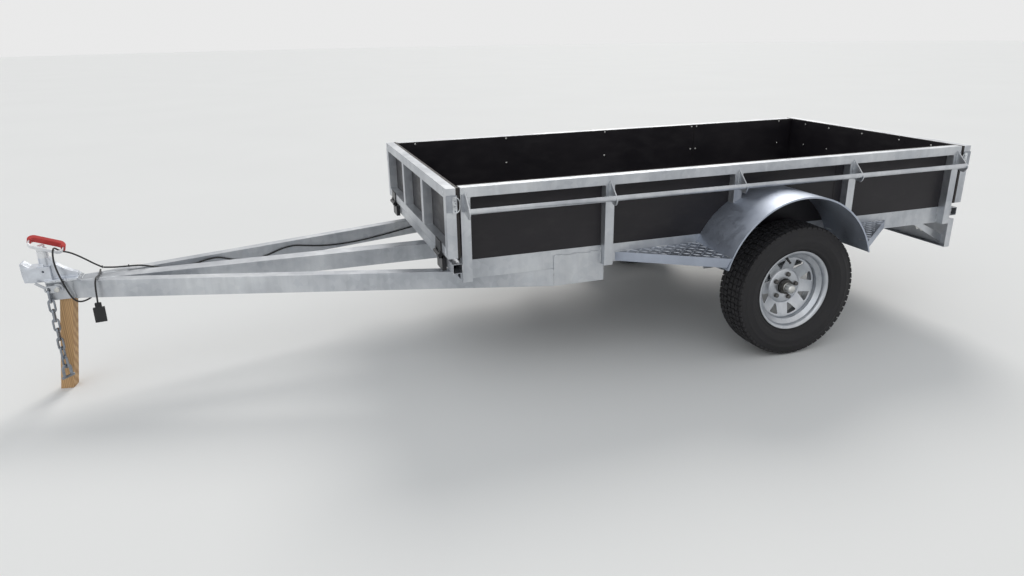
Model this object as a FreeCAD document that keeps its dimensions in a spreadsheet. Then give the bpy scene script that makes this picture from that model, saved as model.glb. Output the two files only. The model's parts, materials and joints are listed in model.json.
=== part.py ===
import FreeCAD, Part
import math
import os
import Sketcher

# Utility trailer: galvanised drawbar chassis, ply-lined tray with drop gates front and rear.
# Millimetres. X points forward to the coupling, Y to the trailer's left, Z up, ground at Z = 0.
# The origin is on the ground, midway along the overall length and on the centre line.

doc = FreeCAD.newDocument("UtilityTrailer")
sheet = doc.addObject("Spreadsheet::Sheet", "Sizes")

# Driving dimensions: name, value, what it sets
sizeTable = (
    ("frontReach", 1674, "front of the tray to the tip of the coupling"),
    ("trayLength", 2500, "length of the tray over its corner posts"),
    ("railOuter", 612, "centre line to the outer face of a side rail"),
    ("railHeight", 80, "height of the side rails"),
    ("railWidth", 50, "width of the side rails"),
    ("crossWidth", 40, "width of a cross member"),
    ("tubeWall", 3, "wall of the chassis tube"),
    ("postSize", 40, "side of the square tube of posts, top rails, end rails and gates"),
    ("postWall", 2.5, "wall of that square tube"),
    ("panelThick", 12, "thickness of the lining boards"),
    ("floorThick", 12, "thickness of the floor board"),
    ("floorGap", 1, "gap between the floor board and a side board"),
    ("sideOver", 111, "top of the mudguards up to the top of the side"),
    ("beamHeight", 75, "height of the drawbar tubes"),
    ("beamWidth", 50, "width of the outer drawbar tubes"),
    ("centreWidth", 75, "width of the centre drawbar tube"),
    ("capThick", 4, "thickness of the plate that closes the centre tube"),
    ("drawAngle", 17, "angle in degrees of an outer drawbar tube to the centre line"),
    ("drawTip", 94, "front of the centre tube back to where an outer tube's outer face meets it"),
    ("sideGussetPast", 58, "gusset past the open end of an outer drawbar tube, which it closes"),
    ("sideGussetDrop", 25, "top of the side rail down to that gusset's top"),
    ("sideGussetThick", 6, "thickness of that gusset"),
    ("stepClear", 15, "least gap from that gusset back to a step"),
    ("cutterSpare", 200, "overrun of a cutting solid past what it cuts"),
    ("fitGap", 0.3, "clearance where one piece is notched round another or seats on a curve"),
    ("sideGap", 5, "clearance between a gate and the tray"),
    ("gateLift", 23, "gap from the end rail up to the gate"),
    ("hingeOut", 8, "gate face out to the hinge pin"),
    ("hingeInset", 150, "end of the gate in to the middle of a hinge"),
    ("hingeWidth", 90, "width of a hinge"),
    ("knuckleRadius", 9, "radius of a hinge knuckle"),
    ("knuckleGap", 1, "side clearance between hinge knuckles"),
    ("hingePin", 5, "radius of a hinge pin"),
    ("pinEnd", 4, "hinge pin past the last knuckle"),
    ("pinClearance", 0.05, "radial clearance of a pin or spindle in its bore"),
    ("leafPlate", 5, "thickness of a hinge leaf"),
    ("leafHigh", 46, "height of a hinge leaf"),
    ("leafWeb", 6, "bottom of the gate up to the top of the web behind a knuckle"),
    ("blockDeep", 18, "depth of the block that carries a hinge"),
    ("blockTop", 3, "top of the end rail down to that block"),
    ("blockDrop", 14, "that block below the underside of the end rail"),
    ("neckBack", 8, "back of the hinge block to its neck"),
    ("latchHigh", 66, "height of a latch plate"),
    ("latchDown", 28, "top of the side down to a latch plate"),
    ("latchThick", 5, "thickness of a latch plate"),
    ("latchLap", 4, "latch plate past the gate frame, and keeper short of the tray's end"),
    ("keeperWide", 12, "width of a latch keeper"),
    ("ropeRadius", 11, "radius of the rope rail"),
    ("ropeOut", 53, "outer face of the posts out to the middle of the rope rail"),
    ("ropeDrop", 85, "top of the side down to the middle of the rope rail"),
    ("ropeInset", 3, "end of the rope rail short of the tray's end"),
    ("gussetThick", 5, "thickness of a rope rail gusset"),
    ("gussetRise", 64, "middle of the rope rail up to the gusset's top"),
    ("gussetFall", 30, "middle of the rope rail down to the gusset's foot"),
    ("gussetHeel", 18, "middle of the rope rail down to the gusset's heel on the post"),
    ("gussetNose", 15, "middle of the rope rail out to the gusset's tip"),
    ("gussetToe", 8, "middle of the rope rail to where the tip's corners are cut"),
    ("axleBack", 1485, "front of the tray back to the axle"),
    ("axleDrop", 175, "middle of the axle up to the underside of the side rails"),
    ("axleSize", 45, "side of the square axle"),
    ("axleInset", 12, "outer face of the posts in to the end of the square axle"),
    ("spindleRadius", 15, "radius of the stub axle"),
    ("spindleTip", 20, "middle of the wheel out to the stub axle's tip"),
    ("spindleGap", 4, "stub axle's tip to the end of the hub's bore"),
    ("tyreRadius", 302, "radius of the tyre"),
    ("tyreWidth", 170, "width of the tyre"),
    ("tyreClear", 5, "clearance between the tyre and the posts"),
    ("tyreWall", 11, "thickness of the tyre's side wall"),
    ("treadThick", 20, "thickness of the tread and its carcass"),
    ("treadInset", 34, "side of the tyre in to the edge of the tread"),
    ("shoulderInset", 18, "side of the tyre in to the middle of its shoulder"),
    ("shoulderDrop", 9, "tread down to the middle of the shoulder"),
    ("shoulderDeep", 34, "tread down to the foot of the shoulder"),
    ("beadRadius", 168, "radius at which the tyre sits on the rim"),
    ("flangeRise", 15, "rise of the rim flange over the bead seat"),
    ("flangeWide", 4, "thickness of the rim flange"),
    ("rimHalf", 60, "half the width of the rim over its flanges"),
    ("rimThick", 3, "thickness of the rim"),
    ("seatWide", 22, "width of a bead seat with its flange"),
    ("wellDrop", 20, "bead seat down to the rim's well"),
    ("wellSlope", 12, "width of the slope from bead seat to well"),
    ("padBack", 9, "middle of the wheel in to the face of its bolting pad"),
    ("padEdge", 9, "width of the slope round the bolting pad"),
    ("discDrop", 8, "bolting pad in to the face of the wheel disc"),
    ("grooveWide", 6, "width of the groove round the wheel disc"),
    ("grooveDeep", 6, "depth of the groove round the wheel disc"),
    ("discThick", 4, "thickness of the wheel disc"),
    ("foldStep", 2, "offset of a fold's inner corner from its outer one"),
    ("windowCount", 8, "number of windows in a wheel disc"),
    ("windowHalf", 4, "half the width of a window at its inner end"),
    ("windowSpread", 17, "how much wider each half of a window is at its outer end"),
    ("windowTrim", 4, "outer end of a window in to where its corners are cut"),
    ("windowInset", 14, "foot of the bolting pad's slope out to a window"),
    ("windowEdge", 3, "outer end of a window in from the wheel disc's groove"),
    ("nutCircle", 57, "radius of the circle of wheel nuts"),
    ("nutCount", 5, "number of wheel nuts"),
    ("nutRadius", 11, "radius of a wheel nut over its corners"),
    ("nutHigh", 15, "height of a wheel nut"),
    ("hubRadius", 36, "radius of the hub's barrel"),
    ("hubBack", 58, "middle of the wheel in to the hub's inner end"),
    ("hubFlange", 70, "radius of the hub's flange"),
    ("hubFlangeThick", 12, "thickness of the hub's flange"),
    ("hubNose", 33, "radius of the hub's nose through the wheel disc"),
    ("noseOut", 22, "back of the wheel disc out to the end of the hub's nose"),
    ("capRadius", 20, "radius of the dust cap"),
    ("capOut", 58, "back of the wheel disc out to the end of the dust cap"),
    ("capRound", 7, "rounding of the dust cap's end"),
    ("springWidth", 45, "width of a spring leaf"),
    ("springHalf", 330, "half the length of the main leaf between its eyes"),
    ("springRise", 58, "rise of the spring's eyes over its middle"),
    ("leafThick", 7, "thickness of a spring leaf"),
    ("leafCount", 4, "number of leaves"),
    ("leafStep", 70, "how much shorter each half leaf is than the one above"),
    ("eyeRadius", 17, "outer radius of a spring eye"),
    ("eyeBore", 9, "radius of the bore in a spring eye"),
    ("boltClearance", 0.1, "radial clearance of a spring bolt in its eye"),
    ("boltEnd", 7, "spring bolt past a hanger"),
    ("hangerThick", 6, "thickness of a spring hanger's plates"),
    ("hangerGap", 1, "clearance between a hanger and the spring"),
    ("hangerHalf", 24, "half the length of a hanger"),
    ("hangerDrop", 20, "middle of a spring eye down to the hanger's foot"),
    ("clampHalf", 40, "half the length of a spring clamp plate"),
    ("clampThick", 8, "thickness of a spring clamp plate"),
    ("clampSide", 14, "clamp plate past the side of the spring"),
    ("clampBolt", 5, "radius of a clamp bolt"),
    ("clampBoltOut", 30, "axle to a clamp bolt"),
    ("clampBoltEnd", 12, "clamp bolt past its plate"),
    ("guardGap", 77, "tyre radius to the outer radius of the mudguard"),
    ("guardRise", 68, "middle of the axle up to the centre of the mudguard's arc"),
    ("guardLead", 55, "axle forward to the middle of the mudguard"),
    ("guardOver", 59, "outer side of the tyre out to the mudguard's edge"),
    ("guardLap", 7, "underside of the side rails down to the mudguard's feet"),
    ("guardWall", 7, "depth of the mudguard's outer side wall"),
    ("sheetThick", 2.5, "thickness of guard and step sheet"),
    ("stepUp", 43, "underside of the side rails up to the top of the steps"),
    ("stepLip", 40, "depth of the steps' outer lip"),
    ("stepLipThick", 5, "thickness of that lip across the trailer"),
    ("stepTip", 50, "front step's tip behind the middle of the second post"),
    ("stepTail", 271, "rear step's tip behind the middle of the fourth post"),
    ("boardUp", 23, "underside of the side rails up to the top of the lamp board"),
    ("boardTall", 146, "height of the lamp board"),
    ("boardDeep", 33, "depth of the lamp board front to back"),
    ("boardWall", 3, "thickness of the lamp board's sheet"),
    ("braceRun", 170, "rear of the tray forward to the brace's front end"),
    ("braceWide", 60, "width of the brace at the side rail"),
    ("braceFoot", 12, "underside of the lamp board up to the brace's foot"),
    ("braceFootHigh", 38, "height of the brace's foot"),
    ("braceThick", 5, "thickness of the lamp board's brace"),
    ("lampInset", 147, "end of the lamp board in to the middle of a lamp"),
    ("lampHalf", 110, "half the length of a lamp"),
    ("lampEdge", 30, "edge of the lamp board to a lamp"),
    ("lampDeep", 23, "depth of a lamp"),
    ("plateHalf", 186, "half the length of the number plate"),
    ("plateEdge", 18, "edge of the lamp board to the number plate"),
    ("plateThick", 2, "thickness of the number plate"),
    ("couplingOver", 82, "front of the centre tube to the tip of the coupling"),
    ("packThick", 6, "thickness of the plate between drawbar and coupling"),
    ("packLong", 125, "length of that plate"),
    ("flangeBack", 117, "front of the centre tube back to the rear end of the coupling"),
    ("flangeHalf", 45, "half the width of the coupling's foot"),
    ("flangeThick", 8, "thickness of the coupling's foot"),
    ("ribHalf", 15, "half the width of the coupling's rib"),
    ("noseHalf", 27, "half the width of the coupling's nose"),
    ("noseHigh", 34, "height up to which the coupling's nose slopes forward"),
    ("headRadius", 36, "radius of the coupling's head round the ball"),
    ("headHigh", 62, "height of the coupling's head"),
    ("lipOut", 4, "coupling's head to the tip of its lip"),
    ("lipHigh", 82, "height of the lip"),
    ("lipThick", 8, "thickness of the lip at its top"),
    ("lipFoot", 10, "ball's middle forward to the foot of the lip"),
    ("cheekBack", 22, "tower back to the rear end of the coupling's wide head"),
    ("sideHole", 4.5, "radius of the hole through the coupling"),
    ("sideHoleUp", 43, "height of that hole over the coupling's foot"),
    ("ballRadius", 25, "radius of the tow ball that the coupling takes"),
    ("ballClear", 0.4, "clearance round the tow ball"),
    ("ballUp", 28, "height of the ball's middle in the coupling"),
    ("towerBack", 84, "tip of the coupling back to the middle of its tower"),
    ("towerRadius", 21, "radius of the tower"),
    ("towerHigh", 95, "height of the tower"),
    ("towerFoot", 8, "rise of the tower's foot over the head"),
    ("collarRadius", 19.5, "radius of the handle's collar"),
    ("collarHigh", 33, "height of the handle's collar"),
    ("screwRadius", 12, "radius of the screw's head"),
    ("screwHigh", 18, "height of the screw over the collar"),
    ("handleUp", 15.3, "top of the collar up to the middle of the handle"),
    ("handleBack", 18, "tower back to the middle of the handle"),
    ("handleHalf", 61, "half the width of the handle's loop"),
    ("handleDeep", 25, "half the depth of the handle's loop"),
    ("handleRound", 19.5, "outer radius of the loop's corners"),
    ("handleStrip", 14, "width of the handle's strip"),
    ("handleThick", 4, "thickness of the handle's strip"),
    ("handleRake", 20.2, "angle in degrees that the handle rises forward"),
    ("handleLean", 28.2, "angle in degrees that the handle leans back"),
    ("gripThick", 6, "thickness of the grip round the handle's strip"),
    ("propWidth", 52, "width of the timber prop"),
    ("propThick", 52, "thickness of the timber prop"),
    ("propTurn", 11, "angle in degrees that the prop is turned about its length"),
    ("propBack", 62, "front of the centre tube back to the middle of the prop's top"),
    ("propLean", 72, "how far the prop's foot is ahead of its top"),
    ("linkWire", 7, "thickness of the chain's square link bar"),
    ("linkInner", 44.8, "inside length of a chain link"),
    ("linkWidth", 28, "width of a chain link"),
    ("linkSlack", 3.1, "play between two links, whose corners then just clear"),
    ("linkCount", 8, "number of chain links"),
    ("lugThick", 8, "thickness of the chain's lug"),
    ("lugBase", 14.5, "thickness of the washer under the lug"),
    ("lugBack", 7, "front of the centre tube back to the middle of the lug's hole"),
    ("lugUp", 53, "underside of the drawbar up to the middle of the lug's hole"),
    ("lugHole", 9, "radius of the hole in the chain's lug"),
    ("lugRound", 15, "radius of the lug's end"),
    ("lugBoltBack", 34, "middle of the lug's hole back to the lug's bolt"),
    ("lugWasher", 20.5, "radius of the washer under the lug"),
    ("lugBolt", 13, "radius of the lug's bolt head"),
    ("lugBoltHigh", 8, "height of that head"),
    ("keeperRadius", 5.5, "radius of the bar on the chain's lug"),
    ("keeperLong", 43, "length of that bar"),
    ("keeperLean", 52, "angle in degrees that the bar leans forward"),
    ("shackleWire", 9, "thickness of the shackle's bow"),
    ("shackleHalf", 17, "half the width of the shackle between the middles of its legs"),
    ("shackleHigh", 56, "crown of the shackle down to its pin"),
    ("shacklePin", 6, "radius of the shackle's pin"),
    ("shacklePinEnd", 11, "shackle's pin past the middle of a leg"),
    ("shackleSlack", 3.2, "play between the last link and the shackle"),
    ("cableRadius", 3.5, "radius of the wiring cable"),
    ("plugWide", 44, "width of the lead's plug"),
    ("plugThick", 18, "thickness of the lead's plug"),
    ("plugLong", 62, "length of the plug's body"),
    ("neckWide", 23, "width of the plug's neck"),
    ("neckThick", 16, "thickness of the plug's neck"),
    ("neckLong", 20, "length of the plug's neck"),
    ("plugTurn", 8, "angle in degrees that the plug hangs turned"),
)

for row, (alias, amount, note) in enumerate(sizeTable, start=2):
    sheet.set(f"A{row}", alias)
    sheet.set(f"B{row}", str(amount))
    sheet.setAlias(f"B{row}", alias)
    sheet.set(f"C{row}", note)
doc.recompute()


class Dim:
    """A length that carries its number and its spreadsheet formula together."""

    def __init__(self, number, formula):
        self.number = number
        self.formula = formula

    def combine(self, other, sign, swap=False):
        other = asDim(other)
        first, second = (other, self) if swap else (self, other)
        number = {
            "+": lambda a, b: a + b,
            "-": lambda a, b: a - b,
            "*": lambda a, b: a * b,
            "/": lambda a, b: a / b if b else 0.0,
        }[sign](first.number, second.number)
        return Dim(number, f"({first.formula} {sign} {second.formula})")

    def __add__(self, other):
        return self.combine(other, "+")

    def __radd__(self, other):
        return self.combine(other, "+", True)

    def __sub__(self, other):
        return self.combine(other, "-")

    def __rsub__(self, other):
        return self.combine(other, "-", True)

    def __mul__(self, other):
        return self.combine(other, "*")

    def __rmul__(self, other):
        return self.combine(other, "*", True)

    def __truediv__(self, other):
        return self.combine(other, "/")

    def __neg__(self):
        return Dim(-self.number, f"(-{self.formula})")


def asDim(value):
    if isinstance(value, Dim):
        return value
    return Dim(float(value), repr(float(value)) if value >= 0 else f"({float(value)!r})")


def sine(angle):
    angle = asDim(angle)
    return Dim(math.sin(math.radians(angle.number)), f"sin({angle.formula})")


def cosine(angle):
    angle = asDim(angle)
    return Dim(math.cos(math.radians(angle.number)), f"cos({angle.formula})")


def lesser(first, second):
    first = asDim(first)
    second = asDim(second)
    return Dim(min(first.number, second.number), f"min({first.formula}; {second.formula})")


def root(value):
    value = asDim(value)
    return Dim(math.sqrt(max(value.number, 0.0)), f"sqrt({value.formula})")


class Sizes:
    """The spreadsheet's cells as named lengths."""


size = Sizes()
for alias, amount, note in sizeTable:
    setattr(size, alias, Dim(float(sheet.get(alias)), f"Sizes.{alias}"))

V = FreeCAD.Vector
nodes = []


# Helpers that make bound features

def bind(thing, prop, value):
    thing.setExpression(prop, asDim(value).formula)


def place(thing, x=0, y=0, z=0, axis=None, turn=0):
    """Puts a feature at a bound place, turned about an axis by an angle that is bound if it is a size."""
    if axis:
        thing.Placement = FreeCAD.Placement(V(), FreeCAD.Rotation(V(*axis), asDim(turn).number))
        if isinstance(turn, Dim):
            bind(thing, ".Placement.Rotation.Angle", turn)
    for prop, value in (("x", x), ("y", y), ("z", z)):
        bind(thing, f".Placement.Base.{prop}", value)
    return thing


def lean(thing, *turns):
    """Turns a feature by (axis, angle) pairs, the last one first, before it is placed."""
    rotation = FreeCAD.Rotation()
    for axis, angle in turns:
        rotation = rotation.multiply(FreeCAD.Rotation(V(*axis), asDim(angle).number))
    thing.Placement = FreeCAD.Placement(V(), rotation)
    return thing


def box(name, x, y, z):
    """A box from three (low, high) pairs."""
    thing = doc.addObject("Part::Box", name)
    for prop, (low, high) in (("Length", x), ("Width", y), ("Height", z)):
        bind(thing, prop, asDim(high) - low)
    return place(thing, x[0], y[0], z[0])


TURNS = {"x": ((0, 1, 0), 90), "y": ((1, 0, 0), -90), "z": (None, 0)}


def rod(name, along, start, length, radius, x=0, y=0, z=0):
    """A round bar from a start along an axis; the other two numbers place its centre line."""
    thing = doc.addObject("Part::Cylinder", name)
    bind(thing, "Radius", radius)
    bind(thing, "Height", length)
    axis, turn = TURNS[along]
    spot = {"x": x, "y": y, "z": z}
    spot[along] = start
    return place(thing, spot["x"], spot["y"], spot["z"], axis, turn)


def slab(name, halfWide, halfDeep, corner, length):
    """A bar with rounded corners that stands along Z, with its middle at the origin."""
    level = (-length / 2, length / 2)
    pieces = [
        box(name + "Wide", (-halfWide, halfWide), (corner - halfDeep, halfDeep - corner), level),
        box(name + "Deep", (corner - halfWide, halfWide - corner), (-halfDeep, halfDeep), level),
    ]
    for index, (across, along) in enumerate(((1, 1), (-1, 1), (-1, -1), (1, -1))):
        pieces.append(rod(f"{name}Corner{index}", "z", -length / 2, length, corner,
                          x=across * (halfWide - corner), y=along * (halfDeep - corner)))
    return fuse(name, *pieces)


def cut(name, base, tool):
    thing = doc.addObject("Part::Cut", name)
    thing.Base = base
    thing.Tool = tool
    return thing


def keep(name, base, tool):
    thing = doc.addObject("Part::Common", name)
    thing.Base = base
    thing.Tool = tool
    return thing


def fuse(name, *pieces):
    thing = doc.addObject("Part::MultiFuse", name)
    thing.Shapes = list(pieces)
    thing.Refine = True
    return thing


def mirrored(name, source):
    """The same piece on the trailer's other side."""
    thing = doc.addObject("Part::Mirroring", name)
    thing.Source = source
    thing.Normal = V(0, 1, 0)
    return thing


def group(name, *pieces):
    """Like pieces that share a node without touching."""
    thing = doc.addObject("Part::Compound", name)
    thing.Links = list(pieces)
    return thing


def tube(name, along, x, y, z, wall):
    """Hollow square or rectangular tube, open at both ends."""
    outer = box(name + "Outer", x, y, z)
    spans = {"x": x, "y": y, "z": z}
    inner = {}
    for key, (low, high) in spans.items():
        step = -1 if key == along else wall
        inner[key] = (asDim(low) + step, asDim(high) - step)
    hollow = box(name + "Bore", inner["x"], inner["y"], inner["z"])
    return cut(name, outer, hollow)


def outlined(body, name, plane, outline):
    """A sketch in one of a body's planes: a closed outline with both numbers of each corner bound."""
    sketch = body.newObject("Sketcher::SketchObject", name)
    face = [item for item in body.Origin.OriginFeatures if item.Role == plane + "_Plane"][0]
    sketch.AttachmentSupport = (face, [""])
    sketch.MapMode = "FlatFace"
    points = [(asDim(a), asDim(b)) for a, b in outline]
    count = len(points)
    for index, (across, up) in enumerate(points):
        nextAcross, nextUp = points[(index + 1) % count]
        start = V(across.number, up.number, 0)
        end = V(nextAcross.number, nextUp.number, 0)
        sketch.addGeometry(Part.LineSegment(start, end), False)
    for index in range(count):
        sketch.addConstraint(Sketcher.Constraint("Coincident", index, 2, (index + 1) % count, 1))
    for index, (across, up) in enumerate(points):
        for kind, value in (("DistanceX", across), ("DistanceY", up)):
            number = sketch.addConstraint(Sketcher.Constraint(kind, -1, 1, index, 1, value.number))
            bind(sketch, f"Constraints[{number}]", value)
    return sketch


def plate(name, plane, outline, low, high):
    """A flat plate: an outline of (across, up) pairs in a plane, between two levels across it."""
    body = doc.addObject("PartDesign::Body", name)
    sketch = outlined(body, name + "Outline", plane, outline)
    pad = body.newObject("PartDesign::Pad", name + "Pad")
    pad.Profile = sketch
    bind(pad, "Length", asDim(high) - low)
    shift = {"XY": "z", "YZ": "x", "XZ": "y"}[plane]
    # the XZ plane faces towards -Y, so its pad starts from the high side
    start = high if plane == "XZ" else low
    bind(body, f".Placement.Base.{shift}", start)
    return body


def turned(name, profile, centre):
    """A round piece: a closed profile of (radius, along) pairs turned about the Y axis through a point."""
    body = doc.addObject("PartDesign::Body", name)
    sketch = outlined(body, name + "Profile", "XY", profile)
    spin = body.newObject("PartDesign::Revolution", name + "Turn")
    spin.Profile = sketch
    spin.ReferenceAxis = (sketch, ["V_Axis"])
    spin.Angle = 360.0
    return place(body, *centre)


def ringOfCuts(body, name, count, outline, depth):
    """Cuts one window right through a turned body's disc and repeats it round the axis."""
    sketch = outlined(body, name + "Outline", "XZ", outline)
    pocket = body.newObject("PartDesign::Pocket", name + "Pocket")
    pocket.Profile = sketch
    pocket.Midplane = True
    bind(pocket, "Length", depth)
    pattern = body.newObject("PartDesign::PolarPattern", name + "Pattern")
    pattern.Originals = [pocket]
    axis = [item for item in body.Origin.OriginFeatures if item.Role == "Y_Axis"][0]
    pattern.Axis = (axis, [""])
    pattern.Angle = 360.0
    bind(pattern, "Occurrences", count)
    body.Tip = pattern


def node(thing, label):
    """Names a finished sub-part; the name is its file's name."""
    thing.Label = label
    nodes.append(thing)
    return thing


def feature(name, shape, label):
    """A sub-part whose shape is worked out from the sheet's numbers."""
    thing = doc.addObject("Part::Feature", name)
    thing.Shape = shape
    thing.Placement = FreeCAD.Placement()
    return node(thing, label)


# Levels and stations that several pieces share

gateDeep = size.sideGap + size.panelThick + size.postSize
rearReach = size.trayLength + gateDeep + size.hingeOut + size.knuckleRadius
frontX = (rearReach - size.frontReach) / 2
rearX = frontX - size.trayLength
noseX = frontX + size.frontReach
tubeFront = noseX - size.couplingOver
axleX = frontX - size.axleBack
beamTop = size.tyreRadius + size.axleDrop
beamBottom = beamTop - size.beamHeight
railTop = beamTop + size.railHeight
floorTop = railTop + size.floorThick
guardRadius = size.tyreRadius + size.guardGap
guardHigh = size.tyreRadius + size.guardRise
trayTop = guardHigh + guardRadius + size.sideOver
ropeHeight = trayTop - size.ropeDrop
couplingLow = beamTop + size.packThick
postOuter = size.railOuter + size.postSize
lining = size.railOuter - size.panelThick
wheelOut = postOuter + size.tyreClear + size.tyreWidth / 2
halfPost = size.postSize / 2
postPitch = (size.trayLength - size.postSize) / 4
postStations = [frontX - halfPost - postPitch * step for step in range(5)]


# Tray frame

def makeTray():
    rail = tube("SideRailLeft", "x", (rearX, frontX), (size.railOuter - size.railWidth, size.railOuter),
                (beamTop, railTop), size.tubeWall)
    node(group("SideRails", rail, mirrored("SideRailRight", rail)), "side_rails")

    inner = size.railOuter - size.railWidth
    halfCross = size.crossWidth / 2
    members = []
    for index, station in enumerate(postStations):
        along = (station - halfCross, station + halfCross)
        members.append(tube(f"Cross{index}", "y", along, (-inner, inner), (beamTop, railTop), size.tubeWall))
    node(group("CrossMembers", *members), "cross_members")

    low = railTop - size.postSize
    frontRail = tube("FrontRail", "y", (frontX, frontX + size.postSize), (-postOuter, postOuter),
                     (low, railTop), size.postWall)
    rearRail = tube("RearRail", "y", (rearX - size.postSize, rearX), (-postOuter, postOuter),
                    (low, railTop), size.postWall)
    node(group("EndRails", frontRail, rearRail), "end_rails")

    topLow = trayTop - size.postSize
    posts = []
    for index, station in enumerate(postStations):
        left = tube(f"PostLeft{index}", "z", (station - halfPost, station + halfPost),
                    (size.railOuter, postOuter), (beamTop, topLow), size.postWall)
        posts.append(left)
        posts.append(mirrored(f"PostRight{index}", left))
    node(group("Posts", *posts), "posts")

    topRail = tube("TopRailLeft", "x", (rearX, frontX), (size.railOuter, postOuter),
                   (topLow, trayTop), size.postWall)
    node(group("TopRails", topRail, mirrored("TopRailRight", topRail)), "top_rails")

    panel = box("SidePanelLeft", (rearX, frontX), (lining, size.railOuter), (railTop, trayTop))
    node(group("SidePanels", panel, mirrored("SidePanelRight", panel)), "side_panels")
    edge = lining - size.floorGap
    node(box("FloorPanel", (rearX, frontX), (-edge, edge), (railTop, floorTop)), "floor_panel")


def postOutlines(name, low):
    """Solids round the left side's posts from a level up, to notch the sheets that are fitted round them."""
    reach = halfPost + size.fitGap
    across = (size.railOuter - 1, postOuter + size.fitGap)
    return group(name, *[
        box(f"{name}{index}", (station - reach, station + reach), across, (low, trayTop))
        for index, station in enumerate(postStations)])


# Rope rails: a round bar through a triangular gusset at each post

def makeRopeRails():
    barOut = postOuter + size.ropeOut
    bar = rod("RopeBar", "x", rearX + size.ropeInset, size.trayLength - 2 * size.ropeInset, size.ropeRadius,
              y=barOut, z=ropeHeight)
    half = size.gussetThick / 2
    outline = (
        (postOuter, ropeHeight + size.gussetRise),
        (barOut + size.gussetNose, ropeHeight),
        (barOut + size.gussetNose, ropeHeight - size.gussetToe),
        (barOut + size.gussetToe, ropeHeight - size.gussetFall + size.gussetToe),
        (barOut, ropeHeight - size.gussetFall),
        (barOut - size.gussetNose, ropeHeight - size.gussetFall),
        (postOuter, ropeHeight - size.gussetHeel),
    )
    gussets = [plate(f"RopeGusset{index}", "YZ", outline, station - half, station + half)
               for index, station in enumerate(postStations)]
    rail = fuse("RopeRailLeft", bar, *gussets)
    node(group("RopeRails", rail, mirrored("RopeRailRight", rail)), "rope_rails")


# Gates: a square-tube frame with two inner uprights, its lining, hinge leaves and latch plates

def makeGate(label, face, out):
    """face is the x of the tray's end, out is 1 at the front and -1 at the rear."""
    title = label.title().replace("_", "")
    panelIn = face + out * size.sideGap
    frameIn = panelIn + out * size.panelThick
    frameOut = frameIn + out * size.postSize

    def span(a, b):
        return (a, b) if out > 0 else (b, a)

    low = railTop + size.gateLift
    high = trayTop
    side = size.postSize
    depth = span(frameIn, frameOut)
    # the end uprights run past the rails, with a cap on top
    between = (-postOuter + side, postOuter - side)
    pieces = [
        tube(title + "Bottom", "y", depth, between, (low, low + side), size.postWall),
        tube(title + "Top", "y", depth, between, (high - side, high), size.postWall),
    ]
    outermost = postOuter - side / 2
    middle = (postOuter * 2 - side * 4) / 6 + side / 2
    for index, across in enumerate((-outermost, -middle, middle, outermost)):
        width = (across - side / 2, across + side / 2)
        atEnd = index in (0, 3)
        tall = (low, high) if atEnd else (low + side, high - side)
        pieces.append(tube(f"{title}Upright{index}", "z", depth, width, tall, size.postWall))
        if atEnd:
            pieces.append(box(f"{title}Cap{index}", depth, width, (high - size.postWall, high)))
    node(fuse(title + "Frame", *pieces), label + "_frame")
    panel = box(title + "Panel", span(panelIn, frameIn), (-postOuter, postOuter), (low, high))
    node(panel, label + "_panel")

    pinX = frameOut + out * size.hingeOut
    pinZ = railTop + size.gateLift / 2
    inset = postOuter - size.hingeInset
    half = size.hingeWidth / 2
    eyeLong = size.hingeWidth / 4
    railFace = face + out * size.postSize
    leaves = []
    brackets = []
    for index, across in enumerate((inset, -inset)):
        leaf = [box(f"{title}Leaf{index}", span(frameOut, frameOut + out * size.leafPlate),
                    (across - half, across + half), (low, low + size.leafHigh))]
        for end, edge in enumerate((across - half, across + eyeLong)):
            leaf.append(rod(f"{title}Eye{index}{end}", "y", edge, eyeLong, size.knuckleRadius,
                            x=pinX, z=pinZ))
            leaf.append(box(f"{title}Web{index}{end}", span(frameOut, pinX), (edge, edge + eyeLong),
                            (pinZ, low + size.leafWeb)))
        body = fuse(f"{title}LeafBody{index}", *leaf)
        bore = rod(f"{title}Bore{index}", "y", across - half - 1, size.hingeWidth + 2,
                   size.hingePin + size.pinClearance, x=pinX, z=pinZ)
        leaves.append(cut(f"{title}LeafDone{index}", body, bore))
        block = box(f"{title}Block{index}", span(railFace, railFace + out * size.blockDeep),
                    (across - half, across + half),
                    (railTop - size.postSize - size.blockDrop, railTop - size.blockTop))
        reach = eyeLong - size.knuckleGap
        neck = box(f"{title}Neck{index}", span(railFace + out * size.neckBack, pinX),
                   (across - reach, across + reach), (railTop - size.neckBack, pinZ))
        knuckle = rod(f"{title}Knuckle{index}", "y", across - reach, reach * 2, size.knuckleRadius,
                      x=pinX, z=pinZ)
        pin = rod(f"{title}Pin{index}", "y", across - half - size.pinEnd, size.hingeWidth + 2 * size.pinEnd,
                  size.hingePin, x=pinX, z=pinZ)
        brackets.append(fuse(f"{title}Bracket{index}", block, neck, knuckle, pin))
    node(group(title + "Leaves", *leaves), label + "_hinge_leaves")

    latch = box(title + "LatchPlate", span(frameIn - out * size.latchLap, frameOut),
                (postOuter, postOuter + size.latchThick),
                (high - size.latchDown - size.latchHigh, high - size.latchDown))
    node(group(title + "Latches", latch, mirrored(title + "LatchRight", latch)), label + "_latches")
    return brackets


def makeKeepers():
    keepers = []
    lap = size.latchLap
    for title, low, high in (("Front", frontX - lap - size.keeperWide, frontX - lap),
                             ("Rear", rearX + lap, rearX + lap + size.keeperWide)):
        keeper = box(title + "Keeper", (low, high), (postOuter, postOuter + size.latchThick),
                     (trayTop - size.latchDown - size.latchHigh, trayTop - size.latchDown))
        keepers += [keeper, mirrored(title + "KeeperRight", keeper)]
    node(group("LatchKeepers", *keepers), "latch_keepers")


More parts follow.
